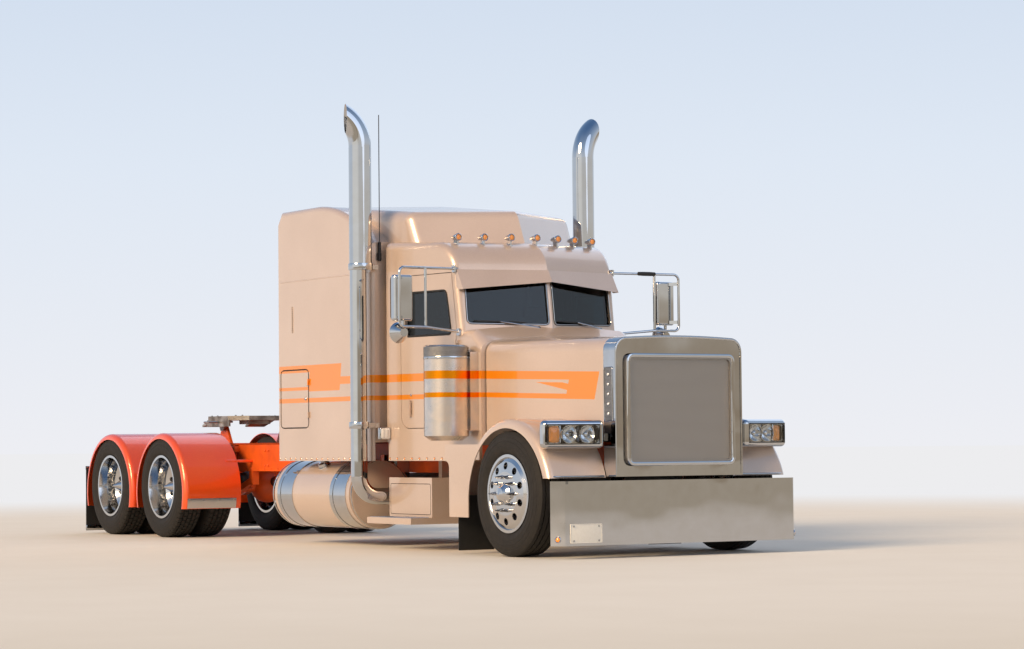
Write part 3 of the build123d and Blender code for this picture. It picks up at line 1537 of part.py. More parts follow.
# Mud flaps: rear pair on bars from the frame end, front pair behind the steered wheels
with BuildPart() as mud_flaps:
    with Locations((frame_rear_x + 14, 920, 375)):
        Box(8, 600, 690)
    with Locations((frame_rear_x + 14, (rail_outer_y + seat_gap + 1220) / 2, 710)):
        Box(24, 1220 - rail_outer_y - seat_gap, 40)
    with Locations((at(-850), 975, 250)):
        Box(8, 350, 440)
    with Locations((at(-850), (rail_outer_y + seat_gap + 1150) / 2, 480)):
        Box(24, 1150 - rail_outer_y - seat_gap, 36)
    with Locations((at(-850), rail_outer_y + seat_gap + 8, 620)):
        Box(40, 16, 300)
    mirror(about=Plane.XZ)
write("mud_flaps", mud_flaps.part)

# Fifth wheel mount: base plate on the rails with two trunnion stands
trunnion_z = 1130
trunnion_radius = 20
stand_inner_y = 330
with BuildPart() as fifth_wheel_mount:
    with Locations((fifth_wheel_x, 0, rail_top + seat_gap + 10)):
        Box(1000, 2 * (rail_outer_y + 20), 20)
    for side in (-1, 1):
        with Locations((fifth_wheel_x, side * (rail_outer_y + seat_gap + 10), rail_top - 60)):
            Box(900, 20, 140)
        with BuildSketch(Plane.XZ.offset(-side * (stand_inner_y + 15))):
            with BuildLine():
                Polyline(
                    (fifth_wheel_x - 160, rail_top + 15), (fifth_wheel_x - 36, trunnion_z + 30),
                    (fifth_wheel_x + 36, trunnion_z + 30), (fifth_wheel_x + 160, rail_top + 15), close=True,
                )
            make_face()
            with Locations((fifth_wheel_x, trunnion_z)):
                Circle(trunnion_radius + seat_gap, mode=Mode.SUBTRACT)
        extrude(amount=15, both=True)
write("fifth_wheel_mount", fifth_wheel_mount.part)

# Fifth wheel plate: greased top plate with a throat from the rear, ramps, jaws and ears
plate_thickness = 45
plate_half_width = 460
plate_front_x = fifth_wheel_x + 480
ramp_start_x = fifth_wheel_x - 280
ramp_tip_x = fifth_wheel_x - 520
plate_ear_y = stand_inner_y + 30 + running_gap + 12
with BuildPart() as fifth_wheel_plate:
    with BuildSketch(Plane.XY.offset(fifth_wheel_top - plate_thickness)):
        with BuildLine():
            Polyline(
                (plate_front_x, -300), (plate_front_x, 300), (plate_front_x - 180, plate_half_width),
                (ramp_start_x + 100, plate_half_width), (ramp_start_x, 380), (ramp_start_x, -380),
                (ramp_start_x + 100, -plate_half_width), (plate_front_x - 180, -plate_half_width), close=True,
            )
        make_face()
    extrude(amount=plate_thickness)
    for side in (-1, 1):
        with BuildSketch(Plane.XZ.offset(-side * 255)):
            with BuildLine():
                Polyline(
                    (ramp_start_x + 5, fifth_wheel_top), (ramp_tip_x, fifth_wheel_top - 90),
                    (ramp_tip_x, fifth_wheel_top - 110), (ramp_start_x + 5, fifth_wheel_top - 45), close=True,
                )
            make_face()
        extrude(amount=115, both=True)
        with Locations((fifth_wheel_x + 60, side * (plate_half_width - 8), fifth_wheel_top - 75)):
            Box(540, 16, 70)
        with BuildSketch(Plane.XZ.offset(-side * plate_ear_y)):
            with BuildLine():
                Polyline(
                    (fifth_wheel_x - 90, fifth_wheel_top - 30), (fifth_wheel_x - 36, trunnion_z - 32),
                    (fifth_wheel_x + 36, trunnion_z - 32), (fifth_wheel_x + 90, fifth_wheel_top - 30), close=True,
                )
            make_face()
        extrude(amount=12, both=True)
        with BuildSketch(Plane.XZ.offset(-side * plate_ear_y)):
            with Locations((fifth_wheel_x, trunnion_z)):
                Circle(trunnion_radius)
        extrude(amount=side * (plate_ear_y - stand_inner_y + 4))
    # Jaw block under the plate, and the throat that leads to it
    with Locations((fifth_wheel_x, 0, fifth_wheel_top - plate_thickness - 20)):
        Box(220, 260, 40)
    with BuildSketch(Plane.XY.offset(fifth_wheel_top - plate_thickness)):
        with Locations((fifth_wheel_x, 0)):
            Circle(48)
        with BuildLine():
            Polyline(
                (fifth_wheel_x, -48), (fifth_wheel_x, 48), (ramp_start_x - 10, 150), (ramp_start_x - 10, -150),
                close=True,
            )
        make_face()
    extrude(amount=plate_thickness, mode=Mode.SUBTRACT)
    with BuildSketch(Plane.XY.offset(fifth_wheel_top - plate_thickness - 60)):
        with Locations((fifth_wheel_x, 0)):
            Circle(kingpin_jaw_radius)
    extrude(amount=120, mode=Mode.SUBTRACT)
write("fifth_wheel_plate", fifth_wheel_plate.part)

# Headlights: swept pods over the fender fronts, with clear lenses
pod_low = 890
pod_high = 1120
pod_front = ((745, 715), (620, 1215))
pod_outline = Polygon(
    (at(752), 705), (at(640), 1205), (at(585), 1226), (at(330), 1060), (at(330), 760), (at(560), 660),
    align=None,
)
pod_form = extrude(Plane.XY.offset(pod_low) * pod_outline, amount=pod_high - pod_low)
pod_form = pod_form.fillet(45, pod_form.edges().filter_by(Axis.Z))
pod_form = pod_form.fillet(40, pod_form.edges().group_by(Axis.Z)[-1] + pod_form.edges().group_by(Axis.Z)[0])
lamp_outline = Polygon(
    (at(800), 745), (at(680), 1215), (at(545), 1185), (at(640), 745), align=None,
)
lamp_pocket = extrude(Plane.XY.offset(pod_low + 32) * lamp_outline, amount=pod_high - pod_low - 64)
with BuildPart() as headlights:
    add(pod_form)
    add(lamp_pocket, mode=Mode.SUBTRACT)
    with Locations((at(580), 668, pod_low + 90)):
        Box(90, 90, 60)
    with Locations((front_axle_x, 950, fender_centre_z)):
        Cylinder(fender_radius + seat_gap, 700, rotation=(90, 0, 0), mode=Mode.SUBTRACT)
    add(hood_outer, mode=Mode.SUBTRACT)
    mirror(about=Plane.XZ)
write("headlights", headlights.part)

lens_outline = Polygon(
    (at(741), 747 + seat_gap), (at(634), 1188), (at(626), 1186), (at(733), 747 + seat_gap), align=None,
)
lens = extrude(
    Plane.XY.offset(pod_low + 32 + seat_gap) * lens_outline, amount=pod_high - pod_low - 64 - 2 * seat_gap
)
with BuildPart() as headlight_lenses:
    add(lens)
    mirror(about=Plane.XZ)
write("headlight_lenses", headlight_lenses.part)

print("pieces", len(written))
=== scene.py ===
import math
from functools import partial

import bmesh
import bpy
import numpy as np
from bpy.props import FloatProperty, IntProperty, PointerProperty, StringProperty
from mathutils import Matrix, Vector


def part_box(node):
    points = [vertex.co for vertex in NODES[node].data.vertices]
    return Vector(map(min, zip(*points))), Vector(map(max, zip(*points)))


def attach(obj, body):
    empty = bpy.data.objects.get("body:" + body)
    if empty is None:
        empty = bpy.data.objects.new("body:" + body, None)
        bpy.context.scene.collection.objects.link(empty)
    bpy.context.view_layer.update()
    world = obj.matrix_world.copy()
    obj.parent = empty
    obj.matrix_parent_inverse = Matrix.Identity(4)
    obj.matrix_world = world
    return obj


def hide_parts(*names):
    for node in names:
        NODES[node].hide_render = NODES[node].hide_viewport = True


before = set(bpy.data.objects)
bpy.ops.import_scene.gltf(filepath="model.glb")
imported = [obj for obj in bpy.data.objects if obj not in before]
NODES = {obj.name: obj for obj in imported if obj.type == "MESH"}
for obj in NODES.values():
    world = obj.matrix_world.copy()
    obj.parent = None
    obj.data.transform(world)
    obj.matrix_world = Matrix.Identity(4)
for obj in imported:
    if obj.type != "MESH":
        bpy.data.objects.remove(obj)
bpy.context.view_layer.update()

bl_info = {
    "name": "Long-nose tractor unit dressing",
    "version": (1, 0, 0),
    "blender": (4, 5, 0),
    "location": "View3D > Sidebar > Truck",
    "description": "Paint, trim, lamps, tyres, seats and stage for a tractor unit built on its CAD frame",
    "category": "Object",
}

FRONT_AXLE_X = 3.9805
# Distance of each drive axle forward of the front axle
DRIVE_AXLES = {"drive": -6.810, "rear": -8.131}
WHEEL_Z = 0.521
SEAT_Y = 0.450
SIDES = ((1, "left"), (-1, "right"))
FORWARD, LEFT, UP = np.eye(3)
BACKWARD = -FORWARD
TURN = 2 * math.pi


def at(distance):
    """A station along the truck, counted forward from the front axle, as x in the frame."""
    return FRONT_AXLE_X + distance


# Colour and shader nodes

def linear(code):
    """An sRGB hex value as linear red, green, blue and 1."""
    values = np.array([int(code[i:i + 2], 16) for i in (1, 3, 5)]) / 255
    curve = np.where(values <= 0.04045, values / 12.92, ((values + 0.055) / 1.055) ** 2.4)
    return (*curve.tolist(), 1.0)


def add_node(tree, kind, inputs=(), out=0, stops=(), **settings):
    """Adds one shader node with its settings, values and links, and gives one of its outputs.

    A socket takes a number, a link or a hex colour. A ramp's stops are (position, hex or grey).
    """
    made = tree.nodes.new("ShaderNode" + kind)
    for key, value in settings.items():
        setattr(made, key, value)
    for key, value in dict(inputs).items():
        if isinstance(value, bpy.types.NodeSocket):
            tree.links.new(value, made.inputs[key])
        else:
            made.inputs[key].default_value = linear(value) if isinstance(value, str) else value
    if stops:
        band = made.color_ramp
        while len(band.elements) < len(stops):
            band.elements.new(1.0)
        for element, (position, value) in zip(band.elements, stops):
            element.position = position
            element.color = linear(value) if isinstance(value, str) else (value, value, value, 1.0)
    return made.outputs[out] if made.outputs else None


def new_finish(name):
    """An empty material, its node adder, and the surface's own coordinates in metres."""
    material = bpy.data.materials.new(name)
    material.use_nodes = True
    material.node_tree.nodes.clear()
    add = partial(add_node, material.node_tree)
    return material, add, add("TexCoord", out="Object")


# The side bands: each block is (rear x, front x, low z, high z, x gained per z)
BAND_BLOCKS = (
    (-3.20, 0.20, 1.497, 1.567, 0.0), (-4.39, 0.20, 1.337, 1.380, 0.0), (0.15, 0.54, 1.337, 1.567, 0.3),
    (-0.06, 0.31, 1.404, 1.474, -6.8), (-3.73, -3.10, 1.441, 1.690, 0.15),
    (-4.39, -3.70, 1.622, 1.690, 0.0), (-4.39, -3.70, 1.454, 1.485, 0.0),
)
BAND_KNEE = -1.05
BAND_FALL = 0.03


def stepped_bands(add, place):
    """Mask of the orange bands: 1 inside any block of the side view.

    Two long bands run from the sleeper to the hood front, and stepped blocks close both ends.
    Forward of the knee, along the hood, all blocks fall by 30 mm per metre.
    """
    across = add("SeparateXYZ", {"Vector": place}, "X")
    ahead = add("Math", {0: add("Math", {0: across, 1: at(BAND_KNEE)}, operation="SUBTRACT"), 1: 0.0},
                operation="MAXIMUM")
    height = add("Math", {0: ahead, 1: BAND_FALL, 2: add("SeparateXYZ", {"Vector": place}, "Z")},
                 operation="MULTIPLY_ADD")
    mask = 0.0
    for rear, front, low, high, slant in BAND_BLOCKS:
        shift = add("Math", {0: height, 1: -slant, 2: across}, operation="MULTIPLY_ADD")
        middle = (at(rear) + at(front)) / 2 - slant * (low + high) / 2
        long = add("Math", {0: shift, 1: middle, 2: (front - rear) / 2}, operation="COMPARE")
        tall = add("Math", {0: height, 1: (low + high) / 2, 2: (high - low) / 2}, operation="COMPARE")
        both = add("Math", {0: long, 1: tall}, operation="MULTIPLY")
        mask = add("Math", {0: mask, 1: both}, operation="MAXIMUM")
    return mask


def base_and_clear_paint(name, colour, dark, stripes=None):
    """Two-stage metallic paint: flake base under clear lacquer.

    The flake sparkles in small patches and the lacquer over it reflects sharply. Real flake is
    0.05 mm and wouldn't show, so it is drawn at 4 mm; the lacquer's orange peel is 6 mm wide.
    """
    material, add, place = new_finish(name)
    flake = add("TexVoronoi", {"Vector": place, "Scale": 1 / 0.004}, "Color")
    cloud = add("TexNoise", {"Vector": place, "Scale": 1 / 0.7, "Detail": 2.0})
    share = add("Math", {0: flake, 1: 0.45, 2: cloud}, operation="MULTIPLY_ADD")
    depth = add("Mix", {0: share, 6: colour, 7: dark}, 2, data_type="RGBA")
    if stripes:
        depth = add("Mix", {0: stepped_bands(add, place), 6: depth, 7: stripes}, 2, data_type="RGBA")
    peel = add("TexNoise", {"Vector": place, "Scale": 1 / 0.006, "Detail": 1.0})
    add("OutputMaterial", {"Surface": add("BsdfPrincipled", {
        "Base Color": depth, "Metallic": 0.3, "Roughness": 0.34,
        "Coat Weight": 1.0, "Coat Roughness": 0.03,
        "Coat Normal": add("Bump", {"Height": peel, "Distance": 0.00004, "Strength": 0.25}),
    })})
    return material


def chrome_plate(name, tint="#C3C6CA", stripes=None, haze=(0.015, 0.045)):
    """Chromium plate or brushed stainless: a mirror with slow waves, and haze that varies in patches.

    The haze is the least and the most roughness.
    """
    material, add, place = new_finish(name)
    spots = add("TexNoise", {"Vector": place, "Scale": 1 / 0.09, "Detail": 4.0})
    rough = add("ValToRGB", {"Fac": spots}, stops=((0.3, haze[0]), (0.8, haze[1])))
    tone = add("ValToRGB", {"Fac": spots}, stops=((0.2, tint), (0.9, "#BCBDBE")))
    if stripes:
        tone = add("Mix", {0: stepped_bands(add, place), 6: tone, 7: stripes}, 2, data_type="RGBA")
    wave = add("TexNoise", {"Vector": place, "Scale": 1 / 0.35, "Detail": 0.0})
    add("OutputMaterial", {"Surface": add("BsdfPrincipled", {
        "Base Color": tone, "Metallic": 1.0, "Roughness": rough,
        "Normal": add("Bump", {"Height": wave, "Distance": 0.004, "Strength": 1.0}),
    })})
    return material


def polished_aluminium(name, colour, low, high, pull):
    """Buffed aluminium: bright, with buffing lines 2 mm apart, stretched where pull is small.

    Low and high are the least and the most roughness.
    """
    material, add, place = new_finish(name)
    along = add("Mapping", {"Vector": place, "Scale": pull})
    lines = add("TexNoise", {"Vector": along, "Scale": 1 / 0.002, "Detail": 3.0})
    spots = add("TexNoise", {"Vector": place, "Scale": 1 / 0.12, "Detail": 3.0})
    add("OutputMaterial", {"Surface": add("BsdfPrincipled", {
        "Base Color": add("Mix", {0: lines, 6: colour, 7: "#B9B8B6"}, 2, data_type="RGBA"),
        "Metallic": 1.0, "Roughness": add("ValToRGB", {"Fac": spots}, stops=((0.25, low), (0.75, high))),
        "Normal": add("Bump", {"Height": lines, "Distance": 0.00005, "Strength": 0.2}),
    })})
    return material


def perforated_steel(name, colour, behind, pitch):
    """Perforated stainless sheet: round holes in staggered rows, filled with a darker tone that is painted
    shade of the space behind them.

    Rows lie pitch * 0.866 apart and every other row is shifted half a pitch. The real holes are
    4 mm apart; they are drawn two to three times as coarse so that they show.
    """
    material, add, place = new_finish(name)
    height = add("SeparateXYZ", {"Vector": place}, "Z")
    rows = add("Math", {0: height, 1: pitch * 0.866}, operation="DIVIDE")
    odd = add("Math", {0: add("Math", {0: rows}, operation="FLOOR"), 1: 2.0}, operation="FLOORED_MODULO")
    across = add("VectorMath", {0: place, 1: (1.0, 1.0, 0.0)}, "Value", operation="DOT_PRODUCT")
    columns = add("Math", {0: across, 1: 1 / pitch, 2: add("Math", {0: odd, 1: 0.5}, operation="MULTIPLY")},
                  operation="MULTIPLY_ADD")
    spot = add("CombineXYZ", {"X": add("Math", {0: columns}, operation="FRACT"),
                              "Y": add("Math", {0: rows}, operation="FRACT"), "Z": 0.5})
    reach = add("VectorMath", {0: spot, 1: (0.5, 0.5, 0.5)}, "Value", operation="DISTANCE")
    sheet = add("ValToRGB", {"Fac": reach}, stops=((0.26, 0.0), (0.36, 1.0)))
    add("OutputMaterial", {"Surface": add("BsdfPrincipled", {
        # The holes take the painted shade colour and the sheet between them its own colour.
        "Base Color": add("Mix", {0: sheet, 6: behind, 7: colour}, 2, data_type="RGBA"), "Metallic": 0.85,
        "Roughness": add("ValToRGB", {"Fac": sheet}, stops=((0.0, 0.7), (1.0, 0.3))),
        "Normal": add("Bump", {"Height": sheet, "Distance": 0.002, "Strength": 0.5}),
    })})
    return material


def coated_metal(name, colour, dark, metallic, roughness, mottle=0.02, skin=0.003, depth=0.0001):
    """Coated, plated or cast metal: even colour with soft mottling over a fine skin.

    The mottling is mottle metres wide and the skin's bumps are skin metres wide and depth high.
    """
    material, add, place = new_finish(name)
    cloud = add("TexNoise", {"Vector": place, "Scale": 1 / mottle, "Detail": 4.0})
    pits = add("TexNoise", {"Vector": place, "Scale": 1 / skin, "Detail": 3.0})
    add("OutputMaterial", {"Surface": add("BsdfPrincipled", {
        "Base Color": add("Mix", {0: cloud, 6: colour, 7: dark}, 2, data_type="RGBA"),
        "Metallic": metallic, "Roughness": roughness,
        "Normal": add("Bump", {"Height": pits, "Distance": depth, "Strength": 0.6}),
    })})
    return material


def tyre_rubber():
    """Carbon-black tyre rubber: matt, a little brown from road dust, with 1.5 mm mould grain."""
    material, add, place = new_finish("tyre_rubber")
    dust = add("TexNoise", {"Vector": place, "Scale": 1 / 0.05, "Detail": 5.0})
    mould = add("TexNoise", {"Vector": place, "Scale": 1 / 0.0015, "Detail": 2.0})
    add("OutputMaterial", {"Surface": add("BsdfPrincipled", {
        "Base Color": add("Mix", {0: dust, 6: "#161514", 7: "#2C2926"}, 2, data_type="RGBA"),
        "Roughness": 0.72, "Specular IOR Level": 0.35,
        "Normal": add("Bump", {"Height": mould, "Distance": 0.0003, "Strength": 0.6}),
    })})
    return material


def sheet_rubber():
    """Sheet rubber with a cloth-impressed face, as mud flaps are pressed: matt black."""
    material, add, place = new_finish("sheet_rubber")
    weave = add("TexWave", {"Vector": place, "Scale": 1 / 0.02, "Distortion": 0.4}, bands_direction="Z")
    cloud = add("TexNoise", {"Vector": place, "Scale": 1 / 0.07, "Detail": 4.0})
    add("OutputMaterial", {"Surface": add("BsdfPrincipled", {
        "Base Color": add("Mix", {0: cloud, 6: "#0F0F10", 7: "#242424"}, 2, data_type="RGBA"),
        "Roughness": 0.6, "Normal": add("Bump", {"Height": weave, "Distance": 0.0006, "Strength": 0.6}),
    })})
    return material


def tinted_glass(name, colour, edge, roughness=0.0):
    """Laminated tinted glass: clear to look through and mirror-like outside, with a faint film."""
    material, add, place = new_finish(name)
    film = add("TexNoise", {"Vector": place, "Scale": 1 / 0.3, "Detail": 2.0})
    add("OutputMaterial", {"Surface": add("BsdfPrincipled", {
        "Base Color": add("Mix", {0: film, 6: colour, 7: edge}, 2, data_type="RGBA"),
        "Roughness": roughness, "IOR": 1.5, "Transmission Weight": 1.0,
    })})
    return material


def moulded_plastic(name, colour, light, roughness):
    """Injection-moulded ABS: fine leather-like grain 2 mm across, soft low sheen."""
    material, add, place = new_finish(name)
    skin = add("TexVoronoi", {"Vector": place, "Scale": 1 / 0.002}, "Distance")
    cloud = add("TexNoise", {"Vector": place, "Scale": 1 / 0.1, "Detail": 2.0})
    add("OutputMaterial", {"Surface": add("BsdfPrincipled", {
        "Base Color": add("Mix", {0: cloud, 6: colour, 7: light}, 2, data_type="RGBA"),
        "Roughness": roughness, "Normal": add("Bump", {"Height": skin, "Distance": 0.0003, "Strength": 0.6}),
    })})
    return material


def lamp_plastic(name, colour, painted_rib_highlight):
    """Moulded acrylic lens: coloured through, with 6 mm prism ribs in its face; the lighter bands along the
    ribs are painted highlights.
    """
    material, add, place = new_finish(name)
    ribs = add("TexWave", {"Vector": place, "Scale": 1 / 0.02}, bands_direction="Z")
    add("OutputMaterial", {"Surface": add("BsdfPrincipled", {
        # The lighter colour along the ribs is a painted highlight.
        "Base Color": add("Mix", {0: ribs, 6: colour, 7: painted_rib_highlight}, 2, data_type="RGBA"), "Roughness": 0.12,
        "Coat Weight": 1.0, "Coat Roughness": 0.03,
        "Normal": add("Bump", {"Height": ribs, "Distance": 0.0008, "Strength": 0.5}),
    })})
    return material


def greased_steel():
    """Machined steel plate under black grease, worn bright where the coupling slides."""
    material, add, place = new_finish("greased_steel")
    spots = add("TexNoise", {"Vector": place, "Scale": 1 / 0.12, "Detail": 5.0})
    worn = add("ValToRGB", {"Fac": spots}, stops=((0.35, 0.0), (0.75, 1.0)))
    pits = add("TexNoise", {"Vector": place, "Scale": 1 / 0.01, "Detail": 4.0})
    add("OutputMaterial", {"Surface": add("BsdfPrincipled", {
        "Base Color": add("Mix", {0: worn, 6: "#6B6762", 7: "#B4B1AB"}, 2, data_type="RGBA"),
        "Metallic": 0.6, "Roughness": add("ValToRGB", {"Fac": worn}, stops=((0.0, 0.5), (1.0, 0.25))),
        "Normal": add("Bump", {"Height": pits, "Distance": 0.0006, "Strength": 0.6}),
    })})
    return material


def seat_leather(name, colour, worn):
    """Grained upholstery leather: pebbled 4 mm grain, faintly paler where it is worn."""
    material, add, place = new_finish(name)
    pebbles = add("TexVoronoi", {"Vector": place, "Scale": 1 / 0.004}, "Distance")
    cloud = add("TexNoise", {"Vector": place, "Scale": 1 / 0.12, "Detail": 3.0})
    add("OutputMaterial", {"Surface": add("BsdfPrincipled", {
        "Base Color": add("Mix", {0: cloud, 6: colour, 7: worn}, 2, data_type="RGBA"),
        "Roughness": 0.55, "Sheen Weight": 0.15,
        "Normal": add("Bump", {"Height": pebbles, "Distance": 0.0006, "Strength": 0.6}),
    })})
    return material


FINISHES = {}


def mix_finishes(look):
    """Makes every material once, from the colours set in the panel."""
    FINISHES.update({
        "body_paint": base_and_clear_paint("champagne_flake_paint", look.body, look.body_shade, look.stripe),
        "plain_paint": base_and_clear_paint("champagne_flake_plain", look.body, look.body_shade),
        "orange_paint": base_and_clear_paint("orange_pearl_paint", look.fender, look.fender_shade),
        "chassis_orange": coated_metal("chassis_enamel_orange", look.fender, "#B5451E", 0.0, 0.42, 0.15),
        "black_paint": coated_metal("chassis_enamel_black", "#17181A", "#34322F", 0.0, 0.42, 0.15),
        "chrome": chrome_plate("chromium_plate"),
        # The warm tint #EAD9CA is a painted reflection of warm surroundings, not the steel's own colour.
        "striped_stainless_painted_warm_reflection": chrome_plate("brushed_stainless_striped_painted_warm_reflection", "#EAD9CA", look.stripe, (0.20, 0.30)),
        "aluminium": polished_aluminium("buffed_aluminium", "#CFD0D1", 0.10, 0.24, (0.02, 1.0, 1.0)),
        "polished_wheel": polished_aluminium("forged_aluminium_polished", "#D5D6D8", 0.06, 0.16,
                                             (1.0, 0.05, 1.0)),
        # The second colour of each perforated sheet is painted shade in its holes.
        "grille_mesh": perforated_steel("woven_stainless_grille", "#A8A49F", "#7A7672", 0.010),
        "steel_mesh": perforated_steel("perforated_stainless", "#9C9A98", "#1E1E20", 0.012),
        "engine_iron": coated_metal("enamelled_cast_iron", "#5C5F61", "#37393B", 0.2, 0.62, 0.08,
                                    depth=0.0006),
        "rubber": sheet_rubber(),
        "tyre": tyre_rubber(),
        "clear_glass": tinted_glass("laminated_glass", "#2E4A52", "#3D5A62"),
        "lens_glass": tinted_glass("polycarbonate_lens", "#F2F5F6", "#FFFFFF", 0.01),
        "black_plastic": moulded_plastic("grained_abs_black", "#1B1B1D", "#2B2A2A", 0.55),
        "seat_fabric": seat_leather("upholstery_leather", "#4A4038", "#6B5D50"),
        "welt": seat_leather("leather_piping", "#2E2823", "#3B332C"),
        # The second colour of each lens is a painted highlight along its ribs.
        "amber_lens": lamp_plastic("amber_acrylic", look.amber, "#FFB35A"),
        "red_lens": lamp_plastic("red_acrylic", "#A3130F", "#D8342B"),
        "clear_lens": lamp_plastic("clear_acrylic", "#D9DEE2", "#FFFFFF"),
        "greased_steel": greased_steel(),
        "zinc_bolt": coated_metal("zinc_plated_steel", "#B9BABA", "#8F9090", 0.9, 0.32),
        "blue_metal": coated_metal("anodised_aluminium_blue", "#2F5FA8", "#274F8E", 0.8, 0.3),
        "reflector": coated_metal("vacuum_metallised_reflector", "#E6E8EA", "#CFD3D6", 1.0, 0.08),
        "blank_plate": coated_metal("painted_blank_plate", "#E9E8E2", "#DAD8D0", 0.0, 0.45),
        # Dark seams, and painted shade in the recess of each sleeper vent.
        "seam_shadow": coated_metal("dark_seam_and_painted_recess_shade", "#2A221E", "#1A1614", 0.0, 0.8),
        "gauge_face": coated_metal("screened_gauge_face", "#E6E2D6", "#D8D3C4", 0.0, 0.5),
    })


# Mesh parts: each is (points, faces, finish number)

CORNERS = ((-1, -1), (1, -1), (1, 1), (-1, 1))
CREASE = math.radians(35)


def grid_faces(rows, columns, close_rows=False, close_columns=False):
    """Quads of a grid of points numbered row by row, joined round where it closes."""
    i = np.arange(rows if close_rows else rows - 1)[:, None]
    j = np.arange(columns if close_columns else columns - 1)[None, :]
    up, right = (i + 1) % rows, (j + 1) % columns
    corners = (i * columns + j, i * columns + right, up * columns + right, up * columns + j)
    return np.stack([np.broadcast_to(c, (i.size, j.size)).ravel() for c in corners], axis=1)


def square_to(direction):
    """A direction at unit length, and two unit directions square to it and to each other."""
    axis = np.asarray(direction, float) / np.linalg.norm(direction)
    side = np.cross(UP if abs(axis[2]) < 0.9 else FORWARD, axis)
    side /= np.linalg.norm(side)
    return axis, side, np.cross(axis, side)


def lathe(profile, centre, axis, finish=0, steps=48):
    """A profile of (distance along the axis, radius) points turned round the axis.

    The point at angle a is centre + distance * axis + radius * (cos a * side + sin a * other).
    """
    profile = np.asarray(profile, float)
    axis, side, other = square_to(axis)
    angle = np.arange(steps) * TURN / steps
    ring = np.cos(angle)[:, None] * side + np.sin(angle)[:, None] * other
    points = (np.asarray(centre, float) + profile[:, :1, None] * axis
              + profile[:, 1:, None] * ring[None])
    return points.reshape(-1, 3), grid_faces(len(profile), steps, close_columns=True), finish


def collar(low, high, inner, outer, centre, axis, finish=0, steps=48):
    """A plain ring round an axis between two distances along it, or a drum where inner is 0."""
    return lathe([(low, inner), (low, outer), (high, outer), (high, inner)], centre, axis, finish, steps)


def frames_along(path):
    """Two unit directions square to a path at each point, from the axis it runs along least."""
    tangent = np.gradient(path, axis=0)
    tangent /= np.linalg.norm(tangent, axis=1)[:, None]
    span = np.abs(tangent).sum(axis=0)
    helper = np.eye(3)[int(np.argmin(span))]
    side = np.cross(helper, tangent)
    side /= np.linalg.norm(side, axis=1)[:, None]
    return side, np.cross(tangent, side)


def tube(path, radius, finish=0, sides=12):
    """A round section of the given radius (one or one per point) carried along a path, ends closed."""
    path = np.asarray(path, float)
    radius = np.broadcast_to(radius, len(path)).astype(float)
    path = np.concatenate([path[:1], path, path[-1:]])
    radius = np.concatenate([[0.0], radius, [0.0]])
    side, other = frames_along(path[1:-1])
    side = np.concatenate([side[:1], side, side[-1:]])
    other = np.concatenate([other[:1], other, other[-1:]])
    angle = np.arange(sides) * TURN / sides
    ring = np.cos(angle)[None, :, None] * side[:, None] + np.sin(angle)[None, :, None] * other[:, None]
    points = path[:, None] + radius[:, None, None] * ring
    return points.reshape(-1, 3), grid_faces(len(path), sides, close_columns=True), finish


def rounded_box(centre, size, radius, finish=0, arc=3):
    """A box with rounded edges: each octant's corner point is pushed out by radius along a unit ray.

    The point is sign * (half size - radius) + radius * (cos v cos u, cos v sin u, sin v).
    """
    half = np.asarray(size, float) / 2
    radius = min(radius, *half.tolist())
    quarter = np.linspace(0, math.pi / 2, arc + 1)
    u = np.concatenate([quarter + k * math.pi / 2 for k in range(4)])
    sx = np.repeat([1, -1, -1, 1], arc + 1)
    sy = np.repeat([1, 1, -1, -1], arc + 1)
    v = np.concatenate([quarter - math.pi / 2, quarter])
    sz = np.repeat([-1, 1], arc + 1)
    ray = np.stack([np.cos(v)[:, None] * np.cos(u), np.cos(v)[:, None] * np.sin(u),
                    np.broadcast_to(np.sin(v)[:, None], (len(v), len(u)))], axis=-1)
    signs = np.stack([np.broadcast_to(sx, ray.shape[:2]), np.broadcast_to(sy, ray.shape[:2]),
                      np.broadcast_to(sz[:, None], ray.shape[:2])], axis=-1)
    points = np.asarray(centre, float) + signs * (half - radius) + radius * ray
    count = len(u)
    corners = np.arange(4) * (arc + 1)
    caps = np.array([corners[::-1], corners + (len(v) - 1) * count])
    faces = np.concatenate([grid_faces(len(v), count, close_columns=True), caps])
    return points.reshape(-1, 3), faces, finish


def turned(part, angle, axis, about):
    """A part turned about an axis through a point."""
    points, faces, finish = part
    spin = np.array(Matrix.Rotation(angle, 3, Vector(axis)))
    about = np.asarray(about, float)
    return (points - about) @ spin.T + about, faces, finish


def mirrored(part):
    """A part's twin on the other side of the truck, its faces turned to stay outward."""
    points, faces, finish = part
    return points * (1, -1, 1), faces[:, ::-1], finish


def linked(name, data):
    """A new object of the scene made from a mesh, lamp or camera."""
    made = bpy.data.objects.new(name, data)
    bpy.context.scene.collection.objects.link(made)
    return made


def on_both_sides(*pieces):
    """Makes the given pieces on the left and then on the right."""
    for side, word in SIDES:
        for piece in pieces:
            piece(side, word)


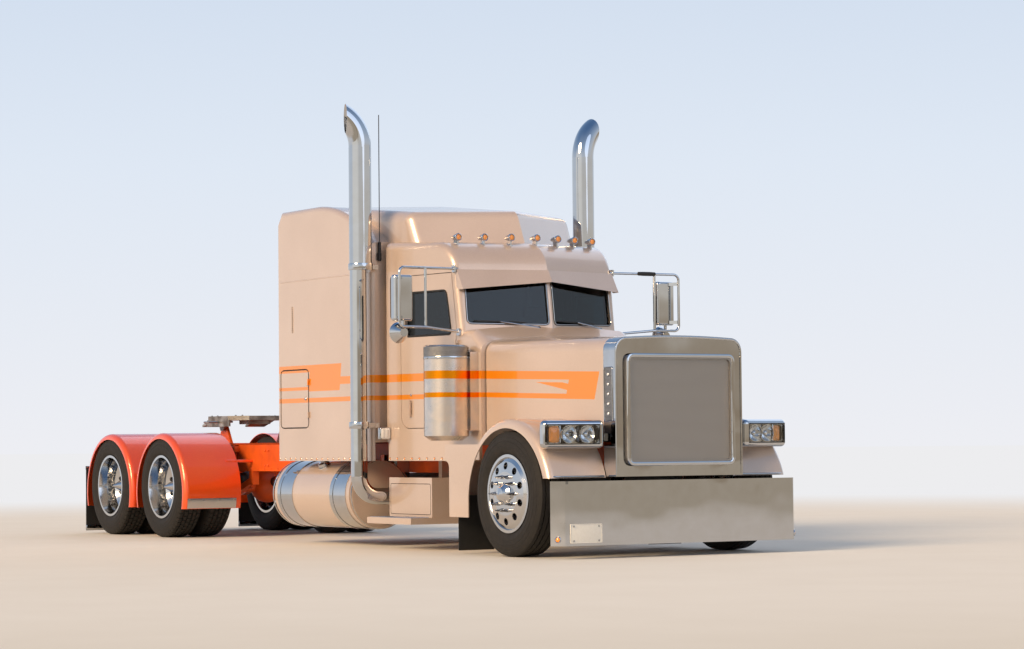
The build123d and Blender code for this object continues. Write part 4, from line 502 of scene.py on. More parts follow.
def make(name, parts, finishes, body, merge=True):
    """Joins parts into one object with its finishes, smooth but for creases, riding on a body."""
    points = np.concatenate([p for p, f, m in parts])
    start = np.cumsum([0] + [len(p) for p, f, m in parts[:-1]])
    loops = np.concatenate([(f + s).ravel() for (p, f, m), s in zip(parts, start)])
    sizes = np.concatenate([np.full(len(f), f.shape[1]) for p, f, m in parts])
    finish = np.concatenate([np.full(len(f), m) for p, f, m in parts])
    mesh = bpy.data.meshes.new(name)
    mesh.vertices.add(len(points))
    mesh.vertices.foreach_set("co", points.ravel())
    mesh.loops.add(len(loops))
    mesh.loops.foreach_set("vertex_index", loops)
    mesh.polygons.add(len(sizes))
    mesh.polygons.foreach_set("loop_start", np.cumsum(sizes) - sizes)
    mesh.polygons.foreach_set("material_index", finish)
    mesh.update(calc_edges=True)
    if merge:
        shell = bmesh.new()
        shell.from_mesh(mesh)
        bmesh.ops.remove_doubles(shell, verts=shell.verts, dist=1e-6)
        bmesh.ops.dissolve_degenerate(shell, edges=shell.edges, dist=1e-7)
        bmesh.ops.recalc_face_normals(shell, faces=shell.faces)
        shell.to_mesh(mesh)
        shell.free()
    for key in finishes:
        mesh.materials.append(FINISHES[key])
    mesh.polygons.foreach_set("use_smooth", np.ones(len(mesh.polygons), bool))
    mesh.set_sharp_from_angle(angle=CREASE)
    piece = linked(name, mesh)
    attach(piece, body)
    return piece


def pillow(centre, across, up, out, finish=0, power=2.0, sides=28, rows=5):
    """A domed cap over a superellipse, closed at the back.

    At angle a and rise t the point is centre + cos t * (c * across + s * up) + sin t * out, where c
    and s are the cosine and sine of a, each raised to 2 / power with its sign kept.
    """
    centre, across, up, out = (np.asarray(v, float) for v in (centre, across, up, out))
    angle = np.arange(sides) * TURN / sides
    wave = np.stack([np.cos(angle), np.sin(angle)])
    wave = np.sign(wave) * np.abs(wave) ** (2 / power)
    rise = np.linspace(0, math.pi / 2, rows)[:, None, None]
    flat = wave[0][:, None] * across + wave[1][:, None] * up
    points = centre + np.cos(rise) * flat[None] + np.sin(rise) * out
    points = np.concatenate([np.broadcast_to(centre, (1, sides, 3)), points])
    return points.reshape(-1, 3), grid_faces(rows + 1, sides, close_columns=True), finish


def rivet(place, direction, radius, height, finish=0):
    """A domed rivet head standing on a place along a level direction."""
    across = radius * np.abs(np.cross(direction, UP))
    return pillow(place, across, (0, 0, radius), np.multiply(direction, height), finish, 2.0, 10, 3)


def sweep(path, section, normal, finish=0, closed=False):
    """A flat section carried along a path: each point is path + a * across + b * up.

    across is square to the path and the normal, up to the path and across; open ends are closed
    by a ring of points drawn together at the section's middle.
    """
    path = np.asarray(path, float)
    normal = np.broadcast_to(np.asarray(normal, float), path.shape)
    tangent = np.roll(path, -1, 0) - np.roll(path, 1, 0) if closed else np.gradient(path, axis=0)
    across = np.cross(tangent, normal)
    across /= np.linalg.norm(across, axis=1)[:, None]
    up = np.cross(across, tangent)
    up /= np.linalg.norm(up, axis=1)[:, None]
    section = np.asarray(section, float)
    points = path[:, None] + section[None, :, :1] * across[:, None] + section[None, :, 1:] * up[:, None]
    if not closed:
        ends = [np.broadcast_to(row.mean(axis=0), (1, *row.shape)) for row in (points[0], points[-1])]
        points = np.concatenate([ends[0], points, ends[1]])
    return points.reshape(-1, 3), grid_faces(len(points), len(section), closed, True), finish


def rounded_outline(corners, reach, arc=5):
    """A closed outline whose corners are rounded by curves that start reach before each corner.

    Along the curve at t the point is (1-t)^2 * start + 2t(1-t) * corner + t^2 * end.
    """
    corners = np.asarray(corners, float)
    toward = [np.roll(corners, shift, 0) - corners for shift in (1, -1)]
    start, end = (corners + reach * v / np.linalg.norm(v, axis=1)[:, None] for v in toward)
    t = np.linspace(0, 1, arc + 1)[None, :, None]
    curve = (1 - t) ** 2 * start[:, None] + 2 * t * (1 - t) * corners[:, None] + t ** 2 * end[:, None]
    return curve.reshape(-1, corners.shape[1])


def bead(width, height, steps=5):
    """Section of a half-round strip: (a, b) pairs over half an ellipse, flat below."""
    angle = np.linspace(0, math.pi, steps + 1)
    return np.stack([width / 2 * np.cos(angle), height * np.sin(angle)], axis=1)


def flat_bar(width, height):
    """Section of a flat bar: the corners of a rectangle round its middle."""
    return [(a * width / 2, b * height / 2) for a, b in CORNERS]


def bead_round(centre, right, up, outward, reach, width, height, finish=0):
    """A half-round bead along a rounded rectangle, domed outward.

    The rectangle's corners are centre plus or minus right, plus or minus up.
    """
    centre, right, up = (np.asarray(v, float) for v in (centre, right, up))
    corners = [centre + a * right + b * up for a, b in CORNERS]
    return sweep(rounded_outline(corners, reach), bead(width, height), outward, finish, True)


def bolt(place, direction, size, finish=0):
    """A hexagon head with a washer, standing on a place along a direction."""
    reach = size / 2
    washer = collar(-0.2 * reach, 0.2 * reach, 0, 1.5 * reach, place, direction, finish, 16)
    head = lathe([(0, 0), (0, reach), (0.9 * reach, reach), (1.1 * reach, 0.8 * reach), (1.1 * reach, 0)],
                 place, direction, finish, 6)
    return [washer, head]


def round_lamp(place, direction, radius, lens=0, bezel=1, depth=0.5):
    """A small round lamp: domed lens in a rolled bezel ring."""
    direction, side, other = square_to(direction)
    rolled = [(-0.1, 0), (-0.1, 1.30), (0.25, 1.26), (0.38, 1.12), (0.30, 0.98), (0, 0.98), (0, 0)]
    return [lathe(radius * np.array(rolled), place, direction, bezel, 24),
            pillow(place, radius * side, radius * other, depth * radius * direction, lens, 2.0, 24, 4)]


# Sizes and colours shown in the panel

class TruckPaint(bpy.types.PropertyGroup):
    """Colours of the painted and lens parts."""
    body: StringProperty(name="Body", description="Champagne flake of cab and hood", default="#DDC9BB")
    body_shade: StringProperty(name="Body flake", description="Deeper colour in the flake", default="#C7B2A2")
    stripe: StringProperty(name="Bands", description="Orange of the side bands", default="#EC8E10")
    fender: StringProperty(name="Rear fenders", description="Orange pearl", default="#FB6A1A")
    fender_shade: StringProperty(name="Fender flake", description="Deeper orange", default="#EC4A10")
    amber: StringProperty(name="Amber lens", description="Colour of the marker lamps", default="#F98A10")


class TruckTyres(bpy.types.PropertyGroup):
    """Tread of the steer and drive tyres."""
    groove_depth: FloatProperty(name="Groove depth", description="Depth of the round grooves",
                                default=0.013, unit="LENGTH")
    groove_width: FloatProperty(name="Groove width", description="Width of the round grooves",
                                default=0.012, unit="LENGTH")
    pitches: IntProperty(name="Blocks", description="Tread blocks round a drive tyre", default=56)


class TruckSeats(bpy.types.PropertyGroup):
    """How the seat cushions swell."""
    swell: FloatProperty(name="Swell", description="Most that a point of a cushion moves out",
                         default=0.024, unit="LENGTH")
    pressure: FloatProperty(name="Filling pressure", description="Pressure of the filling", default=4.0)


class TruckStage(bpy.types.PropertyGroup):
    """Camera, floor and light."""
    lens: FloatProperty(name="Focal length", description="Lens on a 36 mm wide sensor", default=98.165)
    floor: StringProperty(name="Floor", description="Colour of the floor", default="#E9E7E3")
    key: FloatProperty(name="Side light", description="Power of the warm side lamp, in W/m2", default=3.5)
    front: FloatProperty(name="Front light", description="Power of the cool front lamp, in W/m2",
                         default=0.35)
    fill: FloatProperty(name="Fill light", description="Power of the far side lamp, in W/m2", default=0.5)
    sky: FloatProperty(name="Sky", description="Strength of the even light all round", default=0.42)


# Finishes on the frame's own nodes

NODES_OF_FINISH = {
    "chassis_orange": ("frame", "rear_axles", "fifth_wheel_mount"),
    "black_paint": ("front_axle", "knuckle_left", "knuckle_right", "tie_rod", "driveshafts"),
    "engine_iron": ("engine",),
    "black_plastic": ("radiator", "antenna", "dashboard", "steering_wheel"),
    "chrome": ("bumper", "radiator_shell", "roof_lights", "mirrors", "tank_straps", "exhaust_stacks",
               "headlights"),
    "grille_mesh": ("grille",),
    "body_paint": ("hood", "cab", "door_left", "door_right", "sleeper", "luggage_door_left",
                   "luggage_door_right"),
    "plain_paint": ("front_fenders", "visor", "sleeper_roof", "fuel_tanks", "step_boxes"),
    "orange_paint": ("rear_fenders",),
    "striped_stainless_painted_warm_reflection": ("air_cleaners",),
    "clear_glass": ("windshield", "door_glass_left", "door_glass_right"),
    "lens_glass": ("headlight_lenses",),
    "seat_fabric": ("seats",),
    "rubber": ("mud_flaps",),
    "greased_steel": ("fifth_wheel_plate",),
    "tyre": tuple(name for name in NODES if name.startswith("tyre")),
    "polished_wheel": tuple(name for name in NODES if name.startswith("wheel")),
}


class TRUCK_OT_finish_frame(bpy.types.Operator):
    """Gives every node of the frame its real finish"""
    bl_idname = "truck.finish_frame"
    bl_label = "Finish the frame"

    def execute(self, context):
        mix_finishes(context.scene.truck_paint)
        finish_of = {name: key for key, names in NODES_OF_FINISH.items() for name in names}
        for name, node in NODES.items():
            finish = FINISHES[finish_of[name]]
            if not node.material_slots:
                node.data.materials.append(finish)
            for slot in node.material_slots:
                slot.material = finish
        return {"FINISHED"}


# Tyres

STEER_GROOVES = (-0.074, -0.026, 0.026, 0.074)
DRIVE_GROOVES = (-0.070, -0.024, 0.024, 0.070)
TWIN_TYRES_Y = (1.095, 0.758)
SHOULDER_Y, TREAD_EDGE_Y = 0.108, 0.116
GROOVE_WAVE = 0.0025

# Half of a sidewall with its rings, from the bead to the shoulder, as (across, radius)
SIDEWALL = (
    (0.098, 0.316), (0.112, 0.327), (0.122, 0.338), (0.130, 0.352), (0.1365, 0.372), (0.1388, 0.389),
    (0.1374, 0.391), (0.1374, 0.394), (0.139, 0.396), (0.139, 0.428), (0.1366, 0.430), (0.1366, 0.434),
    (0.1384, 0.436), (0.1365, 0.450), (0.1325, 0.466), (0.1300, 0.468), (0.1292, 0.472), (0.1300, 0.475),
    (0.1245, 0.490),
)


def tyre_section(grooves, width, depth):
    """Columns of a tyre's section: across, radius, groove share and rib number.

    The tread runs at radius 0.5205 - 0.45 across^2 and drops 10 mm more over each shoulder. Each
    groove adds four columns.
    """
    wall = np.array(SIDEWALL)
    across, radius = -wall[:, 0], wall[:, 1]
    tread_y, sunk, rib = [-TREAD_EDGE_Y, -SHOULDER_Y], [0.0, 0.0], [0, 0]
    for number, groove in enumerate(grooves):
        low, high = groove - width / 2, groove + width / 2
        tread_y += [low, low + 0.002, high - 0.002, high]
        sunk += [0.0, 1.0, 1.0, 0.0]
        rib += [number, -1, -1, number + 1]
    tread_y += [SHOULDER_Y, TREAD_EDGE_Y]
    sunk += [0.0, 0.0]
    rib += [len(grooves)] * 2
    tread_y = np.array(tread_y)
    shoulder = np.clip((np.abs(tread_y) - SHOULDER_Y) / (TREAD_EDGE_Y - SHOULDER_Y), 0, 1)
    crown = 0.5205 - 0.45 * tread_y ** 2 - 0.010 * shoulder
    columns_y = np.concatenate([across, tread_y, -across[::-1]])
    columns_r = np.concatenate([radius, crown, radius[::-1]])
    share = np.concatenate([np.zeros(len(across)), sunk, np.zeros(len(across))])
    ribs = np.concatenate([np.full(len(across), -1), rib, np.full(len(across), -1)])
    return columns_y, columns_r - share * depth, ribs, share


def tyre_part(centre, grooves, sizes, blocks, finish=0):
    """A tyre: the section turned round the axle, its grooves waving and its ribs cut across.

    At angle a the groove columns shift by 2.5 mm times a triangle wave of a. In drive tyres each
    rib sinks by 0.85 of the groove depth over a tenth of every pitch, every other rib half a pitch on.
    """
    across, radius, ribs, share = tyre_section(grooves, sizes.groove_width, sizes.groove_depth)
    cuts = (0.0, 0.03, 0.12, 0.15, 0.5, 0.53, 0.62, 0.65) if blocks else (0.0, 0.25, 0.5, 0.75)
    phase = (np.arange(sizes.pitches)[:, None] + np.array(cuts)[None, :]).ravel()
    angle = phase * TURN / sizes.pitches
    part_of_pitch = phase % 1.0
    wave = 4 * np.abs(part_of_pitch - 0.5) - 1
    tread = (ribs >= 0) | (share > 0)
    inner = tread & (np.abs(across) < 0.105)
    y = across[None, :] + GROOVE_WAVE * wave[:, None] * inner[None, :]
    r = np.broadcast_to(radius, y.shape).copy()
    if blocks:
        odd = (ribs % 2 == 1)[None, :]
        first = ((part_of_pitch > 0.02) & (part_of_pitch < 0.13))[:, None]
        second = ((part_of_pitch > 0.52) & (part_of_pitch < 0.63))[:, None]
        cut = np.where(odd, second, first) & (ribs >= 0)[None, :]
        r = np.where(cut, r - sizes.groove_depth * 0.85, r)
    points = np.stack([
        centre[0] + r * np.cos(angle)[:, None], centre[1] + y, centre[2] + r * np.sin(angle)[:, None],
    ], axis=-1)
    faces = grid_faces(len(angle), len(across), close_rows=True, close_columns=True)
    return points.reshape(-1, 3), faces[:, ::-1], finish


class TRUCK_OT_tyres(bpy.types.Operator):
    """Moulds the ten tyres with their tread"""
    bl_idname = "truck.tyres"
    bl_label = "Tyres"

    def execute(self, context):
        sizes = context.scene.truck_tyres
        for side, word in SIDES:
            lo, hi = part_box(f"tyre_front_{word}")
            centre = ((lo[0] + hi[0]) / 2, (lo[1] + hi[1]) / 2, WHEEL_Z)
            tyre = make(f"tread_front_{word}", [tyre_part(centre, STEER_GROOVES, sizes, False)],
                        ["tyre"], f"front_wheel_{word}", merge=False)
            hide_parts(f"tyre_front_{word}")
            for axle, distance in DRIVE_AXLES.items():
                pair = [tyre_part((at(distance), side * y, WHEEL_Z), DRIVE_GROOVES, sizes, True)
                        for y in TWIN_TYRES_Y]
                tyres = make(f"tread_{axle}_{word}", pair, ["tyre"], f"{axle}_wheels_{word}", merge=False)
                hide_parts(f"tyres_{axle}_{word}")
        return {"FINISHED"}


# Front end

GRILLE_FACE = 0.830
SHELL_SIDE_Y = 0.637
LAMP_Z = 1.005
LAMP_RADIUS = 0.066
LENS_SLOPE = 0.26
TAG_Y = -0.941
TAG_Z = 0.207


def lens_front(y):
    """Distance forward of the front axle of the slanted lamp lens at a width."""
    return 0.741 - LENS_SLOPE * (abs(y) - 0.747)


def shell_edge():
    """Front edge of the radiator shell: straight sides, 98 mm corners and a low crown.

    Across the top the height is 1.801 - 0.0595 y^2.
    """
    turn = np.linspace(0, math.radians(84), 9)
    crown = np.linspace(0.51, 0.0, 12)
    half = [(0.623, z) for z in np.linspace(0.668, 1.67, 8)]
    half += list(zip(0.525 + 0.098 * np.cos(turn), 1.6864 + 0.098 * np.sin(turn)))
    half = np.array(half + list(zip(crown, 1.801 - 0.0595 * crown ** 2)))
    edge = np.concatenate([half, half[-2::-1] * (-1, 1)])
    return np.column_stack([np.full(len(edge), at(0.8005)), edge])


def grille_bead():
    """Beads round the grille and along the shell's front edge, and the grille's screws."""
    middle = (at(GRILLE_FACE), 0, 1.203)
    parts = [bead_round(middle, (0, 0.522, 0), (0, 0, 0.442), FORWARD, 0.05, 0.034, 0.010),
             sweep(shell_edge(), bead(0.020, 0.008), FORWARD)]
    for side in (1, -1):
        for z in np.linspace(0.83, 1.58, 9):
            parts += bolt((at(GRILLE_FACE), side * 0.506, z), FORWARD, 0.010, 1)
    make("grille_bead", parts, ["chrome", "zinc_bolt"], "hood")


def shell_side(side, word):
    """Perforated panel with its rim, lamps and a row of rivets on one side of the shell."""
    outward = (0, side, 0)
    station = at(0.7025)
    width, height = (0.0625, 0, 0), (0, 0, 0.22)
    panel = (station, side * (SHELL_SIDE_Y - 0.0018), 1.33)
    parts = [pillow(panel, width, height, (0, side * 0.004, 0), 0, 12.0, 48, 3),
             bead_round((station, side * SHELL_SIDE_Y, 1.33), width, height, outward, 0.02, 0.008, 0.005, 1)]
    for z in np.linspace(1.17, 1.49, 5):
        parts += round_lamp((station, side * (SHELL_SIDE_Y + 0.0025), z), outward, 0.012, 2, 1)
    for z in np.linspace(0.99, 1.69, 17):
        parts.append(rivet((at(0.636), side * (SHELL_SIDE_Y - 0.002), z), outward, 0.0045, 0.003, 1))
    make(f"shell_side_{word}", parts, ["steel_mesh", "chrome", "clear_lens"], "hood")


def headlamp(side, word):
    """Two round lamps with bowl, bulb and shield, the amber lamp beside them and the lens gasket."""
    parts = []
    for y in (0.842, 0.992):
        centre = (at(lens_front(y)) - 0.022, side * y, LAMP_Z)
        back = [(-0.074 + 0.068 * (r / LAMP_RADIUS) ** 2, r) for r in np.linspace(0.008, LAMP_RADIUS, 7)]
        lip = [(-0.008, LAMP_RADIUS + 0.009), (0.004, LAMP_RADIUS + 0.008), (0.004, LAMP_RADIUS + 0.003)]
        bowl = [(-0.060 + 0.060 * (r / LAMP_RADIUS) ** 2, r) for r in np.linspace(LAMP_RADIUS, 0.008, 9)]
        bulb = [(-0.060, 0), (-0.060, 0.011), (-0.030, 0.011), (-0.018, 0.008), (-0.012, 0)]
        shield = [(-0.030, 0), (-0.030, 0.020), (-0.012, 0.018), (-0.006, 0.010), (-0.004, 0)]
        parts += [lathe(back + lip + bowl, centre, FORWARD, 0, 40), lathe(bulb, centre, FORWARD, 1, 16),
                  lathe(shield, centre, FORWARD, 2, 24)]
    length = math.hypot(LENS_SLOPE, 1)
    along = np.array([-LENS_SLOPE, side, 0]) / length
    outward = np.array([1.0, side * LENS_SLOPE, 0]) / length
    amber = (at(lens_front(1.115)) - 0.022, side * 1.115, LAMP_Z)
    parts.append(pillow(amber, 0.045 * along, (0, 0, 0.066), 0.012 * outward, 3, 5.0, 40, 4))
    divider = (at(lens_front(1.066)) - 0.026, side * 1.066, LAMP_Z)
    parts.append(rounded_box(divider, (0.020, 0.008, 0.150), 0.003))
    make(f"headlamp_bowls_{word}", parts, ["reflector", "lens_glass", "chrome", "amber_lens"], "hood")
    middle = (at(lens_front(0.9675)) + 0.001, side * 0.9675, LAMP_Z)
    gasket = bead_round(middle, 0.2165 * length * along, (0, 0, 0.079), outward, 0.03, 0.007, 0.003)
    make(f"lens_gasket_{word}", [gasket], ["rubber"], "hood")


def bumper_lamp(side, word):
    """Amber lamp low on the bumper's turned end."""
    lamp = round_lamp((at(0.7745), side * 1.1815, 0.16), (0.640, side * 0.768, 0), 0.020)
    make(f"bumper_lamp_{word}", lamp, ["amber_lens", "chrome"], "truck")


def fender_strip(side, word):
    """Bright rod under the front fender's lip, bent back round its outer corner."""
    edge = [(at(0.663), side * y, 0.662) for y in np.linspace(0.66, 1.09, 8)]
    edge += [(at(0.563 + 0.10 * math.cos(t)), side * (1.09 + 0.10 * math.sin(t)), 0.662)
             for t in np.linspace(0.2, 1.4, 7)]
    make(f"fender_strip_{word}", [tube(edge, 0.008)], ["chrome"], "hood")


def stone_guard(side, word):
    """Bolted aluminium sheet on the front of the first rear fender, on its own arc."""
    around = np.radians(np.linspace(-14.0, -4.5, 8))
    outward = np.stack([np.cos(around), np.zeros(8), np.sin(around)], axis=1)
    centre = np.array([at(DRIVE_AXLES["drive"]), 0, 0.455])
    parts = [sweep(centre + (0, side * 0.9325, 0) + 0.622 * outward, flat_bar(0.545, 0.003), outward)]
    for y in (0.69, 0.86, 1.03, 1.18):
        parts += bolt(centre + (0, side * y, 0) + 0.6235 * outward[-2], FORWARD, 0.012, 1)
    make(f"stone_guard_{word}", parts, ["aluminium", "zinc_bolt"], "truck")


def blank_plate():
    """Blank number plate in its rim, held by four bolts on the right of the bumper."""
    parts = [rounded_box((at(0.8225), TAG_Y, TAG_Z), (0.006, 0.305, 0.155), 0.004, 0, 4)]
    for z in (TAG_Z + 0.058, TAG_Z - 0.058):
        for y in (TAG_Y + 0.121, TAG_Y - 0.119):
            parts += bolt((at(0.8255), y, z), FORWARD, 0.011, 1)
    middle = (at(0.826), TAG_Y, TAG_Z)
    parts.append(bead_round(middle, (0, 0.149, 0), (0, 0, 0.074), FORWARD, 0.012, 0.006, 0.002))
    make("blank_plate", parts, ["blank_plate", "zinc_bolt"], "truck")


class TRUCK_OT_front_end(bpy.types.Operator):
    """Adds grille and shell beads, lamps, fender strips, stone guards and the blank plate"""
    bl_idname = "truck.front_end"
    bl_label = "Front end"

    def execute(self, context):
        grille_bead()
        on_both_sides(shell_side, headlamp, bumper_lamp)
        on_both_sides(fender_strip, stone_guard)
        blank_plate()
        return {"FINISHED"}


# Cab trim

SCREEN_SWEEP = 0.264
SCREEN_RAKE = 0.146
CAB_FLARE = 0.13303
WINDOW_RUBBER = bead(0.018, 0.007)
CLEANER = -1.215
SLEEPER_SIDE_Y = 1.0855
SKIRT_LAMP_Z = 0.808

# Where each wiper's spindle stands and where its arm holds the blade, as y
WIPERS = {"right": (-0.13, -0.47), "left": (0.60, 0.30)}


def cab_half(distance):
    """Half width of the cab's side at a distance from the front axle."""
    return 0.815 + CAB_FLARE * (-1.350 - distance)


def screen_x(y, z):
    """Face of the raked, swept windshield as x in the frame."""
    return at(-1.148) - SCREEN_SWEEP * np.abs(y) - SCREEN_RAKE * (z - 1.969)


def wiper(word):
    """Parts of one wiper: blade on the glass, bent bright arm and its spindle."""
    pivot_y, tip_y = WIPERS[word]
    outward = np.array([1.0, math.copysign(SCREEN_SWEEP, tip_y), SCREEN_RAKE])
    pivot = np.array([screen_x(pivot_y, 1.950) + 0.012, pivot_y, 1.950])
    across = np.linspace(tip_y - 0.23, tip_y + 0.23, 9)
    height = 2.004 + 0.03 * (tip_y - across)
    blade = np.stack([screen_x(across, height) + 0.012, across, height], axis=1)
    section = [(-0.004, -0.010), (0.004, -0.010), (0.006, 0.006), (-0.006, 0.006)]
    arm_end = blade[4] + 0.014 * outward
    knee = (pivot + arm_end) / 2 + 0.016 * outward
    return [sweep(blade, section, outward),
            tube([pivot + 0.012 * outward, knee, arm_end], [0.009, 0.007, 0.005], 2, 8),
            lathe([(-0.02, 0), (-0.02, 0.017), (0.012, 0.015), (0.018, 0)], pivot, outward, 1, 16)]


def screen_rubber(side, word):
    """Rubber round one windshield pane with its chrome locking strip, and the pane's wiper."""
    pane = np.array([(0.028, 1.981), (0.028, 2.420), (0.745, 2.385), (0.752, 1.991)])
    corners = np.stack([screen_x(pane[:, 0], pane[:, 1]), side * pane[:, 0], pane[:, 1]], axis=1)
    line = rounded_outline(corners, 0.04)
    outward = (1.0, side * SCREEN_SWEEP, SCREEN_RAKE)
    parts = [sweep(line, WINDOW_RUBBER, outward, 0, True),
             sweep(line, bead(0.009, 0.0095), outward, 2, True), *wiper(word)]
    make(f"screen_rubber_and_wiper_{word}", parts, ["rubber", "black_plastic", "chrome"], "truck")


def door_rubber(side, word):
    """Rubber round a door's window, and the door's round lock."""
    window = np.array([(-1.490, 1.900), (-1.560, 2.290), (-2.150, 2.290), (-2.150, 1.900)])
    half = side * (cab_half(window[:, 0]) + 0.0005)
    line = rounded_outline(np.stack([at(window[:, 0]), half, window[:, 1]], axis=1), 0.045)
    lock = (at(-2.082), side * (cab_half(-2.082) + 0.001), 1.375)
    parts = [sweep(line, WINDOW_RUBBER, (0, side, 0), 0, True),
             pillow(lock, (0.012, 0, 0), (0, 0, 0.012), (0, side * 0.006, 0), 1)]
    make(f"door_rubber_and_lock_{word}", parts, ["rubber", "chrome"], f"door_{word}")


def mirror_glass(side, word):
    """Mirror glass in its rubber rim, on the back of a mirror head."""
    middle = (at(-1.4523), side * 1.376, 2.204)
    parts = [pillow(middle, (0, 0.082, 0), (0, 0, 0.186), (-0.003, 0, 0), 0, 9.0, 48, 3),
             bead_round(middle, (0, 0.084, 0), (0, 0, 0.188), BACKWARD, 0.03, 0.010, 0.006, 1)]
    make(f"mirror_glass_{word}", parts, ["reflector", "rubber"], "truck")


def mirror_arm_sleeve():
    """Rubber sleeve on the left mirror's upper arm."""
    line = [(at(-1.295), y, 2.465) for y in np.linspace(1.02, 1.20, 5)]
    sleeve = tube(line, [0.017, 0.019, 0.019, 0.019, 0.017])
    make("mirror_arm_sleeve", [sleeve], ["rubber"], "truck")


def roof_lamp_lenses():
    """Amber lenses in the seven roof lamps."""
    parts = []
    for y, station in ((0, -1.387), (0.244, -1.427), (0.473, -1.507), (0.705, -1.575)):
        for side in ((1,) if y == 0 else (1, -1)):
            parts += round_lamp((at(station) - 0.001, side * y, 2.765), FORWARD, 0.0265, 0, 1, 0.35)
    make("roof_lamp_lenses", parts, ["amber_lens", "chrome"], "truck")


def cleaner_bands(side, word):
    """Perforated ring, striped sleeve, and clamp band with its lug on an air cleaner."""
    centre = (at(CLEANER), side * 1.050, 0)
    band = [(1.666, 0.194), (1.666, 0.1985), (1.669, 0.1995), (1.687, 0.1995), (1.690, 0.1985),
            (1.690, 0.194)]
    parts = [collar(1.690, 1.775, 0.1945, 0.1962, centre, UP, 0, 96),
             # The sleeve's warm tint is a painted reflection of the warm surroundings.
             collar(1.008, 1.664, 0.194, 0.1957, centre, UP, 2, 96), lathe(band, centre, UP, 1, 96),
             rounded_box((at(CLEANER), side * 1.251, 1.678), (0.05, 0.014, 0.018), 0.004, 1)]
    make(f"cleaner_bands_{word}", parts, ["steel_mesh", "chrome", "striped_stainless_painted_warm_reflection"], "truck")


def skirt_lamps(side, word):
    """Rows of small amber lamps along the skirts of sleeper and cab."""
    sleeper = [((at(x), side * SLEEPER_SIDE_Y, SKIRT_LAMP_Z), (0, side, 0))
               for x in np.linspace(-2.60, -4.34, 17)]
    cab = [((at(x), side * (cab_half(x) + 0.0005), SKIRT_LAMP_Z), (0.133, side, 0))
           for x in np.linspace(-1.42, -2.40, 10)]
    for label, row in (("sleeper", sleeper), ("cab", cab)):
        parts = [part for place, outward in row for part in round_lamp(place, outward, 0.010)]
        make(f"{label}_skirt_lamps_{word}", parts, ["amber_lens", "chrome"], "truck")


class TRUCK_OT_cab_trim(bpy.types.Operator):
    """Adds window rubbers, wipers, mirror glass, roof lamp lenses, cleaner bands and skirt lamps"""
    bl_idname = "truck.cab_trim"
    bl_label = "Cab trim"

    def execute(self, context):
        on_both_sides(screen_rubber, door_rubber, mirror_glass)
        mirror_arm_sleeve()
        roof_lamp_lenses()
        on_both_sides(cleaner_bands, skirt_lamps)
        return {"FINISHED"}


# Exhaust, tanks and steps

STACK = -2.482
PIPE_Y = 1.2276
TUBE_Y = 1.201
PIPE_RADIUS = 0.0750
TUBE_RADIUS = 0.1016
TANK_Y = 0.790
TANK_Z = 0.475
TANK_RADIUS = 0.309
STEP = -1.995


def stack_clamps(side, word):
    """Clamps with bolted lugs round an exhaust stack, and smooth sleeves on its pipe and tube."""
    parts = []
    for z, y, radius in ((1.110, PIPE_Y, 0.0842), (2.540, TUBE_Y, 0.1058)):
        band = [(-0.030, radius), (-0.030, radius + 0.004), (-0.024, radius + 0.006),
                (0.024, radius + 0.006), (0.030, radius + 0.004), (0.030, radius)]
        lug = (at(STACK) - radius - 0.018, side * y, z)
        parts += [lathe(band, (at(STACK), side * y, z), UP, 0, 64),
                  rounded_box(lug, (0.030, 0.026, 0.052), 0.004)]
        parts += bolt((lug[0], side * (y + 0.014), z), (0, side, 0), 0.014, 1)
    for low, high, y, radius in ((0.66, 1.075, PIPE_Y, PIPE_RADIUS), (1.145, 2.505, PIPE_Y, PIPE_RADIUS),
                                 (2.575, 3.62, TUBE_Y, TUBE_RADIUS)):
        parts.append(collar(low, high, radius - 0.001, radius + 0.0007, (at(STACK), side * y, 0), UP, 0, 96))
    make(f"stack_clamps_{word}", parts, ["chrome", "zinc_bolt"], "truck")


def tank_caps(side, word):
    """End seams, bright bands and the filler cap with its grip on a fuel tank."""
    seam = [(-0.006, TANK_RADIUS), (-0.004, TANK_RADIUS + 0.0055),
            (0.004, TANK_RADIUS + 0.0055), (0.006, TANK_RADIUS)]
    parts = [lathe(seam, (at(x), side * TANK_Y, TANK_Z), FORWARD, 0, 96) for x in (-4.462, -2.878)]
    for rear in (-4.352, -3.282):
        parts.append(collar(0, 0.294, TANK_RADIUS + 0.0055, TANK_RADIUS + 0.0075,
                            (at(rear), side * TANK_Y, TANK_Z), FORWARD, 1, 128))
    tilt = math.radians(58)
    out = np.array([0, side * math.cos(tilt), math.sin(tilt)])
    neck = np.array([at(-3.665), side * TANK_Y, TANK_Z]) + TANK_RADIUS * out
    cap = [(-0.01, 0), (-0.01, 0.062), (0.010, 0.058), (0.012, 0.048), (0.018, 0.048), (0.020, 0.056),
           (0.040, 0.054), (0.046, 0.046), (0.048, 0)]
    parts += [lathe(cap, neck, out, 1, 40), rounded_box(neck + 0.050 * out, (0.080, 0.012, 0.012), 0.005, 1)]
    make(f"tank_caps_{word}", parts, ["aluminium", "chrome"], "truck")


def step_treads(side, word):
    """Tread bars on the foot step, and the seam of the lid on the step box's face."""
    parts = [rounded_box((at(STEP), side * y, 0.2915), (0.74, 0.010, 0.006), 0.003, 0, 2)
             for y in np.linspace(1.000, 1.180, 7)]
    parts.append(bead_round((at(STEP), side * 0.9752, 0.450), (0.360, 0, 0), (0, 0, 0.135), (0, side, 0),
                            0.02, 0.005, 0.0015, 2))
    make(f"step_treads_{word}", parts, ["aluminium", "chrome", "seam_shadow"], "truck")


